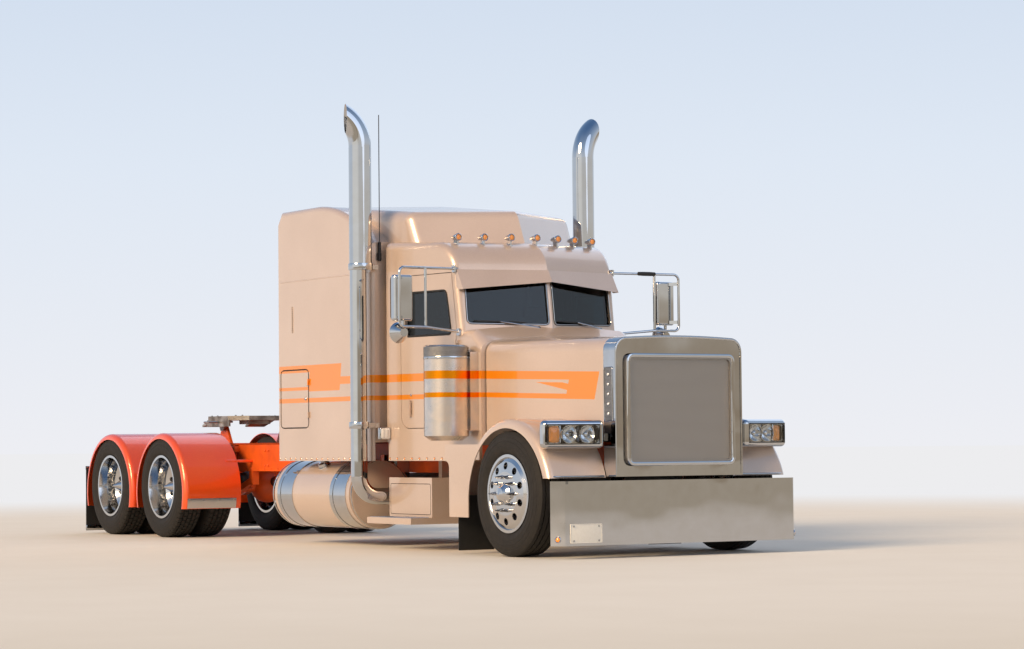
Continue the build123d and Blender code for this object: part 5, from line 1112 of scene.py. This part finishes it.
class TRUCK_OT_side_gear(bpy.types.Operator):
    """Adds stack clamps and sleeves, tank seams, bands and caps, step treads and lid seams"""
    bl_idname = "truck.side_gear"
    bl_label = "Stacks, tanks and steps"

    def execute(self, context):
        on_both_sides(stack_clamps, tank_caps, step_treads)
        return {"FINISHED"}


# Sleeper and chassis

SLEEPER_REAR = at(-4.400)
VENT = -4.070
RAIL_SIDE_Y = 0.4305
SOCKET_TILT = (-1, 0, -0.35)
WORK_LAMP_TILT = (-1, 0, -0.25)


def sleeper_trim(side, word):
    """Drip rail and louvred vent on the sleeper's side."""
    outward = (0, side, 0)
    rail = [(at(x), side * SLEEPER_SIDE_Y, 2.497) for x in np.linspace(-4.32, -2.57, 24)]
    parts = [sweep(rail, bead(0.012, 0.004), outward),
             bead_round((at(VENT), side * SLEEPER_SIDE_Y, 2.129), (0.012, 0, 0), (0, 0, 0.124), outward,
                        0.010, 0.006, 0.004),
             # The dark pillow behind the louvres is painted shade of the vent's opening.
             pillow((at(VENT), side * 1.0852, 2.129), (0.011, 0, 0), (0, 0, 0.122), (0, side * 0.002, 0),
                    1, 9.0, 32, 3)]
    for z in np.linspace(2.02, 2.24, 12):
        parts.append(rounded_box((at(VENT), side * 1.0875, z), (0.020, 0.004, 0.006), 0.0015, 0, 2))
    make(f"sleeper_trim_{word}", parts, ["plain_paint", "seam_shadow"], "truck")


def luggage_door_rubber(side, word):
    """Rubber round a luggage door, and its round lock."""
    middle = (at(-4.030), side * 1.0862, 1.375)
    rim = bead_round(middle, (0.288, 0, 0), (0, 0, 0.273), (0, side, 0), 0.05, 0.008, 0.003)
    lock = round_lamp((at(-3.80), side * 1.0865, 1.375), (0, side, 0), 0.014, 1, 1, 0.3)
    make(f"luggage_door_rubber_{word}", [rim, *lock], ["rubber", "chrome"], f"luggage_door_{word}")


def air_suspension(side, word):
    """Air springs, arms, dampers, brake chambers and torque rods of both drive axles."""
    bulge = [(0.500 + 0.170 * s, 0.090 + 0.026 * abs(math.sin(TURN * s))) for s in np.linspace(0, 1, 25)]
    chamber = [(0, 0), (0, 0.060), (0.020, 0.076), (0.070, 0.076), (0.074, 0.084), (0.088, 0.084),
               (0.092, 0.076), (0.150, 0.072), (0.165, 0.050), (0.170, 0)]
    parts = []
    for axle in DRIVE_AXLES.values():
        spring = (at(axle - 0.30), side * 0.455, 0)
        foot = np.array([at(axle + 0.24), side * 0.515, 0.47])
        head = np.array([at(axle + 0.16), side * 0.505, 0.90])
        rod = [(at(axle + 0.40), side * 0.36, 0.52), (at(axle + 0.02), side * 0.36, 0.49)]
        parts += [
            lathe([(0.500, 0), *bulge, (0.670, 0)], spring, UP, 1, 40),
            collar(0.664, 0.6745, 0, 0.094, spring, UP, 2, 32),
            rounded_box((at(axle - 0.17), side * 0.455, 0.470), (0.50, 0.10, 0.055), 0.012),
            tube([foot, foot + 0.52 * (head - foot)], 0.036, 2, 20),
            tube([foot + 0.45 * (head - foot), head], 0.027, 1, 20),
            *(collar(-0.034, 0.034, 0, 0.024, end, LEFT, 2, 20) for end in (foot, head)),
            rounded_box((at(axle + 0.17), side * 0.462, 0.90), (0.11, 0.06, 0.06), 0.01),
            lathe(chamber, (at(axle + 0.10), side * 0.345, 0.580), FORWARD, 2, 32),
            tube(rod, 0.026, 0, 14),
        ]
    make(f"air_suspension_{word}", parts, ["chassis_orange", "rubber", "black_paint"], "truck")


def rail_bolts(side, word):
    """Bolts of the cross-members and a row of small ones along the rear of a frame rail."""
    large = [(x + dx, z) for x in (-2.050, -3.269, -4.631, -5.950, -7.4705, -8.741)
             for dx in (-0.035, 0.035) for z in (0.735, 0.885)]
    small = [(x, 0.700) for x in np.linspace(-5.40, -8.55, 22)]
    parts = []
    for row, size in ((large, 0.022), (small, 0.012)):
        for x, z in row:
            parts += bolt((at(x), side * RAIL_SIDE_Y, z), (0, side, 0), size)
    make(f"rail_bolts_{word}", parts, ["chassis_orange"], "truck")


def air_tank(side, word):
    """Air tank with domed ends, two bands and their brackets."""
    centre = np.array([at(-5.55), side * 0.275, 0.545])
    end = [(0.36, 0.105), (0.385, 0.085), (0.40, 0.040), (0.40, 0)]
    parts = [lathe([(-x, r) for x, r in reversed(end)] + end, centre, FORWARD, 0, 48)]
    for dx in (-0.24, 0.24):
        parts += [collar(-0.02, 0.02, 0.104, 0.108, centre + (dx, 0, 0), FORWARD, 1, 48),
                  rounded_box(centre + (dx, 0, 0.125), (0.05, 0.10, 0.08), 0.006, 1)]
    make(f"air_tank_{word}", parts, ["aluminium", "black_paint"], "truck")


def flap_weights(side, word):
    """Bright weight at the foot of a rear mud flap and the clamp bar at its head."""
    foot = rounded_box((at(-8.787), side * 0.920, 0.062), (0.0265, 0.600, 0.055), 0.006)
    clamp = rounded_box((at(-8.787), side * 0.825, 0.7185), (0.0265, 0.785, 0.020), 0.005)
    make(f"flap_weights_{word}", [foot, clamp], ["chrome"], "truck")


def deck_lamp(side, word):
    """Square lamp at the sleeper's front corner, with its bracket, lens and two guard bars."""
    place = np.array([at(-2.405), side * 1.010, 1.035])
    parts = [rounded_box(place, (0.050, 0.110, 0.110), 0.010, 0, 4),
             rounded_box(place + (-0.020, -side * 0.070, 0), (0.030, 0.060, 0.030), 0.006),
             pillow(place + (0.0255, 0, 0), (0, 0.046, 0), (0, 0, 0.046), (0.006, 0, 0), 1, 8.0, 40, 4)]
    for y in (-0.020, 0.020):
        parts.append(rounded_box(place + (0.030, y, 0), (0.004, 0.004, 0.080), 0.0015, 0, 2))
    make(f"deck_lamp_{word}", parts, ["chrome", "clear_lens"], "truck")


def air_and_light_sockets():
    """Bracket on the sleeper's back with two brake line couplings and a lamp socket between them."""
    coupling = [(0, 0), (0, 0.036), (0.020, 0.036), (0.026, 0.030), (0.046, 0.030), (0.052, 0.022),
                (0.056, 0)]
    socket = [(0, 0), (0, 0.040), (0.050, 0.038), (0.050, 0.044), (0.056, 0.044), (0.056, 0)]
    parts = [rounded_box((SLEEPER_REAR - 0.006, 0, 0.980), (0.012, 0.560, 0.150), 0.004)]
    for y, finish in ((-0.20, 2), (0.20, 1)):
        parts.append(lathe(coupling, (SLEEPER_REAR - 0.010, y, 0.985), SOCKET_TILT, finish, 28))
        handle = (SLEEPER_REAR - 0.056, y + 0.030, 0.962)
        parts.append(rounded_box(handle, (0.012, 0.090, 0.040), 0.005, finish))
    parts.append(lathe(socket, (SLEEPER_REAR - 0.010, 0, 0.985), SOCKET_TILT, 3, 28))
    parts.append(rounded_box((SLEEPER_REAR - 0.066, 0, 1.010), (0.050, 0.020, 0.014), 0.004, 3, 2))
    for y in (-0.255, -0.09, 0.09, 0.255):
        parts += bolt((SLEEPER_REAR - 0.012, y, 1.035), BACKWARD, 0.012, 4)
    finishes = ["aluminium", "red_lens", "blue_metal", "black_plastic", "zinc_bolt"]
    make("air_and_light_sockets", parts, finishes, "truck")


def sleeper_work_lamps():
    """Two round work lamps in housings high on the sleeper's back."""
    housing = [(0, 0), (0, 0.050), (0.030, 0.058), (0.034, 0.058), (0.034, 0)]
    parts = []
    for y in (-0.72, 0.72):
        parts.append(rounded_box((SLEEPER_REAR - 0.010, y, 2.300), (0.020, 0.060, 0.050), 0.006, 1))
        parts += round_lamp((SLEEPER_REAR - 0.040, y, 2.300), WORK_LAMP_TILT, 0.048, 0, 1, 0.2)
        parts.append(lathe(housing, (SLEEPER_REAR - 0.008, y, 2.308), WORK_LAMP_TILT, 1, 32))
    make("sleeper_work_lamps", parts, ["clear_lens", "black_plastic"], "truck")


def sleeper_rear_seams():
    """Lapped seam with its rivets down both edges of the sleeper's back."""
    parts = []
    for side in (-1, 1):
        line = [(SLEEPER_REAR - 0.0005, side * 1.035, z) for z in np.linspace(0.83, 2.45, 30)]
        parts.append(sweep(line, bead(0.014, 0.003), BACKWARD))
        for z in np.linspace(0.90, 2.40, 16):
            parts.append(rivet((SLEEPER_REAR - 0.001, side * 1.013, z), BACKWARD, 0.005, 0.003))
    make("sleeper_rear_seams", parts, ["plain_paint"], "truck")


def rear_lamp_bar():
    """Four tail lamps on a bar across the frame's end, with its two brackets."""
    bar = [rounded_box((at(-8.765), 0, 0.600), (0.040, 0.80, 0.110), 0.012, 0, 4)]
    for y in (-0.30, -0.16, 0.16, 0.30):
        bar += round_lamp((at(-8.783), y, 0.600), BACKWARD, 0.044, 1, 2, 0.18)
    for y in (-0.36, 0.36):
        bar.append(rounded_box((at(-8.762), y, 0.668), (0.034, 0.05, 0.05), 0.006))
    make("rear_lamp_bar", bar, ["black_paint", "red_lens", "chrome"], "truck")


class TRUCK_OT_chassis(bpy.types.Operator):
    """Adds the sleeper's trim, rear sockets and lamps, air suspension, air tanks and bolts"""
    bl_idname = "truck.chassis"
    bl_label = "Sleeper trim and chassis"

    def execute(self, context):
        on_both_sides(sleeper_trim, luggage_door_rubber, air_suspension, rail_bolts, air_tank, flap_weights)
        on_both_sides(deck_lamp)
        air_and_light_sockets()
        sleeper_work_lamps()
        sleeper_rear_seams()
        rear_lamp_bar()
        return {"FINISHED"}


KINGPIN = -7.100
PLATE_TOP_Z = 1.2500


def round_kingpin(radius, z, sweep_angle, count):
    """Points of an arc round the kingpin's hole, open to the rear."""
    angle = np.radians(np.linspace(-sweep_angle, sweep_angle, count))
    return np.stack([at(KINGPIN) + radius * np.cos(angle), radius * np.sin(angle), np.full(count, z)], axis=1)


class TRUCK_OT_coupling(bpy.types.Operator):
    """Adds the lock jaw, wear ring sectors, release handle and plate bolts of the fifth wheel"""
    bl_idname = "truck.coupling"
    bl_label = "Fifth wheel"

    def execute(self, context):
        parts = [sweep(round_kingpin(0.056, 1.226, 118, 40), flat_bar(0.016, 0.024), UP)]
        for radius in (0.14, 0.20, 0.26):
            parts.append(sweep(round_kingpin(radius, PLATE_TOP_Z, 112, 60), bead(0.010, 0.0012), UP, 1))
        for side in (1, -1):
            for x in (-6.70, -6.86, -7.30, -7.44):
                parts += bolt((at(x), side * 0.34, PLATE_TOP_Z), UP, 0.020, 2)
        handle = [(at(-7.02), -0.30, 1.190), (at(-7.02), -0.52, 1.186), (at(-7.03), -0.575, 1.186),
                  (at(-7.06), -0.590, 1.186), (at(-7.10), -0.590, 1.186)]
        parts.append(tube(handle, 0.010, 2))
        make("lock_jaw_and_handle", parts, ["zinc_bolt", "greased_steel", "zinc_bolt"], "fifth_wheel_plate")
        return {"FINISHED"}


# Seats and dashboard

FILLING_FRAMES = 20
CHANNEL_WIDTH = 0.009


def weld_block(name, part):
    """A cushion's starting block, its surface cut evenly by a 9 mm voxel remesh."""
    points, faces = part[:2]
    mesh = bpy.data.meshes.new(name)
    mesh.from_pydata(points.tolist(), [], faces.tolist())
    piece = linked(name, mesh)
    weld = piece.modifiers.new("weld", "REMESH")
    weld.mode = "VOXEL"
    weld.voxel_size = 0.009
    graph = bpy.context.evaluated_depsgraph_get()
    piece.data = bpy.data.meshes.new_from_object(piece.evaluated_get(graph))
    piece.modifiers.clear()
    return piece


def vertex_places(mesh):
    """All vertices of a mesh as rows of x, y, z."""
    places = np.empty(3 * len(mesh.vertices))
    mesh.vertices.foreach_get("co", places)
    return places.reshape(-1, 3)


def swell_blocks(pieces, most, pressure):
    """Fills the blocks by cloth simulation; no point moves out by more than most."""
    start = [vertex_places(piece.data) for piece in pieces]
    for piece in pieces:
        cloth = piece.modifiers.new("filling", "CLOTH")
        cloth.settings.quality = 5
        cloth.settings.use_pressure = True
        cloth.settings.uniform_pressure_force = pressure
        cloth.settings.effector_weights.gravity = 0
    scene = bpy.context.scene
    for number in range(1, FILLING_FRAMES + 1):
        scene.frame_set(number)
    graph = bpy.context.evaluated_depsgraph_get()
    ends = [vertex_places(piece.evaluated_get(graph).data) for piece in pieces]
    for piece in pieces:
        piece.modifiers.clear()
    scene.frame_set(1)
    result = []
    for rest, end in zip(start, ends):
        push = end - rest
        length = np.maximum(np.linalg.norm(push, axis=1), 1e-9)
        result.append(rest + push * np.minimum(1.0, most / length)[:, None])
    return result


def channelled(points, centre, across, depth_dir, lines, depth):
    """Sewn channels: a point sinks by depth * exp(-(d / 9 mm)^2), d its distance to a line.

    Only the side that faces depth_dir sinks, fading over 30 mm.
    """
    offset = points - centre
    place = offset @ across
    facing = np.clip((offset @ depth_dir) / 0.03, 0, 1)[:, None]
    sink = sum(np.exp(-((place - line) / CHANNEL_WIDTH) ** 2) for line in lines)
    return points - depth * (sink[:, None] * facing) * depth_dir


def cushion_piping(piece, centre, size, upright, facing):
    """Welt cord laid along a cushion's edge: a rounded loop drawn onto the swollen surface."""
    along = np.cross(LEFT, facing)
    long, wide = (size[0] if upright else size[2]) / 2 - 0.012, size[1] / 2 - 0.012
    corners = [centre + 0.3 * min(size) * facing + a * long * along + b * wide * LEFT
               for a, b in ((-1, -1), (-1, 1), (1, 1), (1, -1))]
    loop = rounded_outline(corners, 0.06, 8)
    ahead = np.roll(loop, -1, 0)
    loop = np.stack([loop + (ahead - loop) * s for s in (0, 1 / 3, 2 / 3)], axis=1).reshape(-1, 3)
    near = np.array([piece.closest_point_on_mesh(Vector(p))[1] for p in loop])
    angle = np.arange(8) * TURN / 8
    cord = 0.004 * np.stack([np.cos(angle), np.sin(angle)], axis=1)
    return sweep(near, cord, facing, 0, True)


def cushions(context):
    """The three cushions of each seat: swollen blocks with sewn channels and piping."""
    sizes = context.scene.truck_seats
    lean = math.atan2(0.120, 0.800)
    forward = np.array([math.cos(lean), 0, math.sin(lean)])
    plan = (
        ("seat_cushion", (-1.830, 1.470), (0.470, 0.460, 0.095), 0.0, UP,
         (-0.12, -0.04, 0.04, 0.12)),
        ("back_cushion", (-2.105, 1.790), (0.085, 0.430, 0.640), lean, forward,
         (-0.11, -0.037, 0.037, 0.11)),
        ("head_cushion", (-2.172, 2.135), (0.070, 0.250, 0.120), lean, forward, (0.0,)),
    )
    blocks = []
    for label, (x, z), size, tilt, facing, lines in plan:
        centre = (at(x), SEAT_Y, z)
        block = rounded_box(centre, size, 0.42 * min(size), 0, 5)
        blocks.append(weld_block(f"{label}_left", turned(block, -tilt, LEFT, centre)))
    swollen = swell_blocks(blocks, sizes.swell, sizes.pressure)
    for (label, (x, z), size, tilt, facing, lines), piece, points in zip(plan, blocks, swollen):
        centre = np.array([at(x), SEAT_Y, z])
        points = channelled(points, centre, LEFT, facing, lines, 0.007)
        piece.data.vertices.foreach_set("co", points.ravel())
        piece.data.materials.append(FINISHES["seat_fabric"])
        piece.data.polygons.foreach_set("use_smooth", np.ones(len(piece.data.polygons), bool))
        twin = linked(f"{label}_right", piece.data.copy())
        twin.data.vertices.foreach_set("co", (points * (1, -1, 1)).ravel())
        twin.data.flip_normals()
        context.view_layer.update()
        piping = cushion_piping(piece, centre, size, tilt == 0, facing)
        for done, word, trim in ((piece, "left", piping), (twin, "right", mirrored(piping))):
            round_off = done.modifiers.new("round", "SUBSURF")
            round_off.levels = round_off.render_levels = 1
            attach(done, "truck")
            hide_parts("seats")
            make(f"{label}_piping_{word}", [trim], ["welt"], "truck")


def seat_stand(side, word):
    """Round base with its bellows under a seat, and two armrests on their pivots."""
    y = side * SEAT_Y
    bellows = [(1.085 + 0.26 * s, 0.13 + 0.014 * math.sin(5 * TURN * s)) for s in np.linspace(0, 1, 61)]
    stand = [lathe([(1.065, 0), (1.065, 0.20), (1.085, 0.20), (1.085, 0.13), *bellows,
                    (1.345, 0.19), (1.400, 0.205), (1.410, 0)], (at(-1.840), y, 0), UP, 0, 40)]
    for reach in (-0.262, 0.262):
        arm = [(at(-2.08), y + reach, 1.66), (at(-1.98), y + reach, 1.672), (at(-1.82), y + reach, 1.672),
               (at(-1.78), y + reach, 1.666)]
        stand += [tube(arm, [0.020, 0.026, 0.026, 0.020], 0, 14),
                  collar(-0.02, 0.02, 0, 0.024, (at(-2.085), y + reach * 0.93, 1.655), LEFT, 0, 20)]
    make(f"seat_stand_{word}", stand, ["black_plastic"], "truck")


class TRUCK_OT_seats(bpy.types.Operator):
    """Swells the seat cushions, sews their channels and piping, and builds their stands"""
    bl_idname = "truck.seats"
    bl_label = "Seats"

    def execute(self, context):
        cushions(context)
        on_both_sides(seat_stand)
        return {"FINISHED"}


# The dashboard's sloping face: its outward and upward directions
PANEL_OUT = np.array([-0.966, 0, 0.258])
PANEL_UP = np.array([0.258, 0, 0.966])
COLUMN_TILT = math.radians(48)


def panel_spot(y, up, out=0.0):
    """A point of the dashboard's face at y, up its slope and out of it."""
    return np.array([at(-1.391), y, 1.775]) + up * PANEL_UP + (0.001 + out) * PANEL_OUT


def dial(y, up, radius):
    """A gauge: chrome bezel, domed face, eleven marks and a tapered needle."""
    place = panel_spot(y, up)
    bezel = [(-0.002, 0), (-0.002, radius + 0.008), (0.006, radius + 0.006), (0.007, radius),
             (0.003, radius - 0.001), (0.003, 0)]
    face = place + 0.0032 * PANEL_OUT
    reach = radius - 0.002
    parts = [lathe(bezel, place, PANEL_OUT, 0, 32),
             pillow(face, reach * LEFT, reach * PANEL_UP, 0.0008 * PANEL_OUT, 1, 2.0, 32, 3)]
    for angle in np.radians(np.linspace(-135, 135, 11)):
        ray = math.sin(angle) * LEFT + math.cos(angle) * PANEL_UP
        inner = place + 0.0044 * PANEL_OUT + 0.74 * radius * ray
        parts.append(tube([inner, inner + 0.16 * radius * ray], 0.0012, 2, 5))
    ray = math.sin(-0.9) * LEFT + math.cos(-0.9) * PANEL_UP
    pin = place + 0.0052 * PANEL_OUT
    parts.append(tube([pin, pin + 0.72 * radius * ray], [0.0026, 0.0008], 3, 6))
    return parts


def gauges_and_switches():
    """Two large and eight small gauges, two rows of rocker switches and two louvred vents."""
    parts = dial(0.37, 0.0, 0.055) + dial(0.53, 0.0, 0.055)
    for y in (0.25, 0.65, 0.18, 0.72):
        parts += dial(y, -0.034, 0.024) + dial(y, 0.034, 0.024)
    for y in np.linspace(0.05, -0.25, 7):
        for up in (-0.03, 0.03):
            parts.append(rounded_box(panel_spot(y, up, 0.004), (0.016, 0.026, 0.036), 0.004, 2, 2))
    rim = [(-0.002, 0), (-0.002, 0.050), (0.008, 0.047), (0.009, 0.040), (0.002, 0.038), (0.002, 0)]
    for y in (-0.42, -0.60):
        parts.append(lathe(rim, panel_spot(y, 0.0), PANEL_OUT, 0, 32))
        for up in np.linspace(-0.028, 0.028, 5):
            parts.append(rounded_box(panel_spot(y, up, 0.003), (0.006, 0.066, 0.003), 0.001, 2, 1))
    make("gauges_and_switches", parts, ["chrome", "gauge_face", "black_plastic", "amber_lens"], "truck")


def horn_button():
    """Domed chrome button on the steering wheel's hub."""
    hub_way = np.array([-math.sin(COLUMN_TILT), 0, math.cos(COLUMN_TILT)])
    hub = np.array([at(-1.600), SEAT_Y, 1.780]) + 0.018 * hub_way
    side = np.cross(LEFT, hub_way)
    button = pillow(hub, 0.042 * LEFT, 0.042 * side, 0.012 * hub_way, 0, 2.0, 36, 5)
    make("horn_button", [button], ["chrome"], "steering_wheel")


class TRUCK_OT_instruments(bpy.types.Operator):
    """Adds gauges, switches and vents to the dashboard and a horn button to the steering wheel"""
    bl_idname = "truck.instruments"
    bl_label = "Instruments"

    def execute(self, context):
        gauges_and_switches()
        horn_button()
        return {"FINISHED"}


# Stage

CAMERA_PLACE = (23.6865, -13.163, 0.934)
CAMERA_YAW = math.radians(148.570)
CAMERA_PITCH = math.radians(2.442)
CAMERA_ROLL = math.radians(-0.514)


def camera_frame():
    """The camera's place and directions: forward from yaw and pitch, right and up turned by roll."""
    forward = Vector((math.cos(CAMERA_YAW) * math.cos(CAMERA_PITCH),
                      math.sin(CAMERA_YAW) * math.cos(CAMERA_PITCH), math.sin(CAMERA_PITCH)))
    right = Vector((math.sin(CAMERA_YAW), -math.cos(CAMERA_YAW), 0))
    up = right.cross(forward)
    across = math.cos(CAMERA_ROLL) * right + math.sin(CAMERA_ROLL) * up
    above = -math.sin(CAMERA_ROLL) * right + math.cos(CAMERA_ROLL) * up
    place = Matrix((across, above, -forward)).transposed().to_4x4()
    place.translation = Vector(CAMERA_PLACE)
    return place


def soft_sun(name, toward, power, angle, colour):
    """A distant soft lamp that shines from a direction; its disc is angle degrees wide."""
    light = bpy.data.lights.new(name, "SUN")
    light.angle = math.radians(angle)
    light.energy = power
    light.color = linear(colour)[:3]
    lamp = linked(name, light)
    lamp.location = 10 * Vector(toward)
    lamp.rotation_mode = "QUATERNION"
    lamp.rotation_quaternion = (-Vector(toward)).to_track_quat("-Z", "Y")


# How the low sky and the far floor change from behind the truck to ahead of it, by the cosine
# between a direction and the truck's heading
BEHIND, AHEAD = -0.35, 0.15


def pale_sky(sizes):
    """World: even light for matt faces, and a sky where camera, metal and glass look.

    The sky is pale blue, with a low sandy band ahead of the truck and a bright part on its right.
    """
    world = bpy.context.scene.world or bpy.data.worlds.new("sky")
    bpy.context.scene.world = world
    world.use_nodes = True
    world.node_tree.nodes.clear()
    add = partial(add_node, world.node_tree)
    seen = add("Math", {0: add("LightPath", out="Is Camera Ray"), 1: add("LightPath", out="Is Glossy Ray")},
               operation="MAXIMUM")
    seen = add("Math", {0: seen, 1: add("LightPath", out="Is Transmission Ray")}, operation="MAXIMUM")
    look = add("TexCoord", out="Generated")
    height = add("SeparateXYZ", {"Vector": look}, "Z")
    cloud = add("TexNoise", {"Vector": look, "Scale": 3.0, "Detail": 3.0})
    rise = add("Math", {0: cloud, 1: 0.05, 2: height}, operation="MULTIPLY_ADD")
    behind = add("ValToRGB", {"Fac": height}, stops=(
        (0.0, "#EDEEF3"), (0.10, "#DFE8F4"), (0.30, "#B4C9E4"), (0.65, "#7C9CC6"), (1.0, "#5F82B2")))
    ahead = add("ValToRGB", {"Fac": rise}, stops=(
        (0.03, "#AE9C86"), (0.062, "#BBAC99"), (0.080, "#E4DCD0"), (0.20, "#DDE4EE"), (0.45, "#B4C9E4"),
        (1.0, "#5F82B2")))
    bright = add("ValToRGB", {"Fac": height}, stops=(
        (0.0, "#FFF9EE"), (0.20, "#FFFFFF"), (0.60, "#B4C9E4"), (1.0, "#5F82B2")))
    front = add("VectorMath", {0: look, 1: (0.90, 0.0, 0.0)}, "Value", operation="DOT_PRODUCT")
    share = add("MapRange", {"Value": front, "From Min": BEHIND, "From Max": AHEAD},
                interpolation_type="SMOOTHSTEP")
    sky = add("Mix", {0: share, 6: behind, 7: ahead}, 2, data_type="RGBA")
    toward = add("VectorMath", {0: look, 1: (0.20, -0.98, 0.0)}, "Value", operation="DOT_PRODUCT")
    share = add("MapRange", {"Value": toward, "From Min": 0.72, "From Max": 0.95},
                interpolation_type="SMOOTHSTEP")
    sky = add("Mix", {0: share, 6: sky, 7: bright}, 2, data_type="RGBA")
    add("OutputWorld", {"Surface": add("MixShader", {
        0: seen, 1: add("Background", {"Color": "#EAEFF8", "Strength": sizes.sky}),
        2: add("Background", {"Color": sky, "Strength": 1.0})})})


def floor_finish(colour):
    """Matt painted studio floor that fades 10 to 24 m from the truck to the tone of the low sky there."""
    material, add, place = new_finish("studio_floor")
    cloud = add("TexNoise", {"Vector": place, "Scale": 1 / 0.8, "Detail": 4.0})
    reach = add("VectorMath", {0: place}, "Value", operation="LENGTH")
    fade = add("MapRange", {"Value": reach, "From Min": 10.0, "From Max": 24.0},
               interpolation_type="SMOOTHSTEP")
    ahead = add("Math", {0: add("SeparateXYZ", {"Vector": place}, "X"), 1: reach}, operation="DIVIDE")
    share = add("MapRange", {"Value": ahead, "From Min": BEHIND, "From Max": AHEAD},
                interpolation_type="SMOOTHSTEP")
    far = add("Mix", {0: share, 6: "#EDEDEF", 7: "#C2B39F"}, 2, data_type="RGBA")
    add("OutputMaterial", {"Surface": add("MixShader", {
        0: fade,
        1: add("BsdfPrincipled", {
            "Base Color": add("Mix", {0: cloud, 6: colour, 7: "#E2DFDA"}, 2, data_type="RGBA"),
            "Roughness": 0.85, "Specular IOR Level": 0.1}),
        2: add("Emission", {"Color": far, "Strength": 1.0})})})
    return material


class TRUCK_OT_stage(bpy.types.Operator):
    """Lays the floor, hangs the lamps and sets the camera"""
    bl_idname = "truck.stage"
    bl_label = "Stage"

    def execute(self, context):
        scene = context.scene
        sizes = scene.truck_stage
        scene.view_settings.view_transform = "Standard"
        rings, spokes = 24, 72
        radius = np.geomspace(1.0, 400.0, rings)
        angle = np.arange(spokes) * TURN / spokes
        disc = np.stack([np.outer(radius, np.cos(angle)), np.outer(radius, np.sin(angle)),
                         np.zeros((rings, spokes))], axis=-1).reshape(-1, 3)
        mesh = bpy.data.meshes.new("studio_floor")
        faces = [*grid_faces(rings, spokes, close_columns=True)[:, ::-1].tolist(), list(range(spokes))]
        mesh.from_pydata(disc.tolist(), [], faces)
        mesh.materials.append(floor_finish(sizes.floor))
        floor = linked("studio_floor", mesh)
        soft_sun("key_lamp", (0.30, -1.0, 0.55), sizes.key, 24.0, "#FFDCB0")
        soft_sun("front_lamp", (1.0, 0.15, 0.45), sizes.front, 40.0, "#D9E5FB")
        soft_sun("far_lamp", (-0.6, 1.0, 0.8), sizes.fill, 50.0, "#E6EEFA")
        pale_sky(sizes)
        camera = bpy.data.cameras.new("camera")
        camera.sensor_width = 36
        camera.lens = sizes.lens
        camera.clip_end = 1000
        scene.camera = linked("camera", camera)
        scene.camera.matrix_world = camera_frame()
        return {"FINISHED"}


# Panel and registration

GROUPS = (
    ("truck_paint", TruckPaint), ("truck_tyres", TruckTyres),
    ("truck_seats", TruckSeats), ("truck_stage", TruckStage),
)
STEPS = (
    TRUCK_OT_finish_frame, TRUCK_OT_tyres, TRUCK_OT_front_end, TRUCK_OT_cab_trim,
    TRUCK_OT_side_gear, TRUCK_OT_chassis, TRUCK_OT_coupling, TRUCK_OT_seats,
    TRUCK_OT_instruments, TRUCK_OT_stage,
)


class TRUCK_PT_dressing(bpy.types.Panel):
    """Sizes, colours and steps of the truck's dressing."""
    bl_idname = "TRUCK_PT_dressing"
    bl_label = "Tractor unit"
    bl_space_type = "VIEW_3D"
    bl_region_type = "UI"
    bl_category = "Truck"

    def draw(self, context):
        for key, group in GROUPS:
            for field in group.__annotations__:
                self.layout.prop(getattr(context.scene, key), field)
        for step in STEPS:
            self.layout.operator(step.bl_idname)


def register():
    for key, group in GROUPS:
        bpy.utils.register_class(group)
        setattr(bpy.types.Scene, key, PointerProperty(type=group))
    for made in (*STEPS, TRUCK_PT_dressing):
        bpy.utils.register_class(made)


def unregister():
    for made in (TRUCK_PT_dressing, *reversed(STEPS)):
        bpy.utils.unregister_class(made)
    for key, group in reversed(GROUPS):
        delattr(bpy.types.Scene, key)
        bpy.utils.unregister_class(group)


def main():
    register()
    for step in STEPS:
        group, name = step.bl_idname.split(".")
        getattr(getattr(bpy.ops, group), name)()
    bpy.context.view_layer.update()


if __name__ == "__main__":
    main()
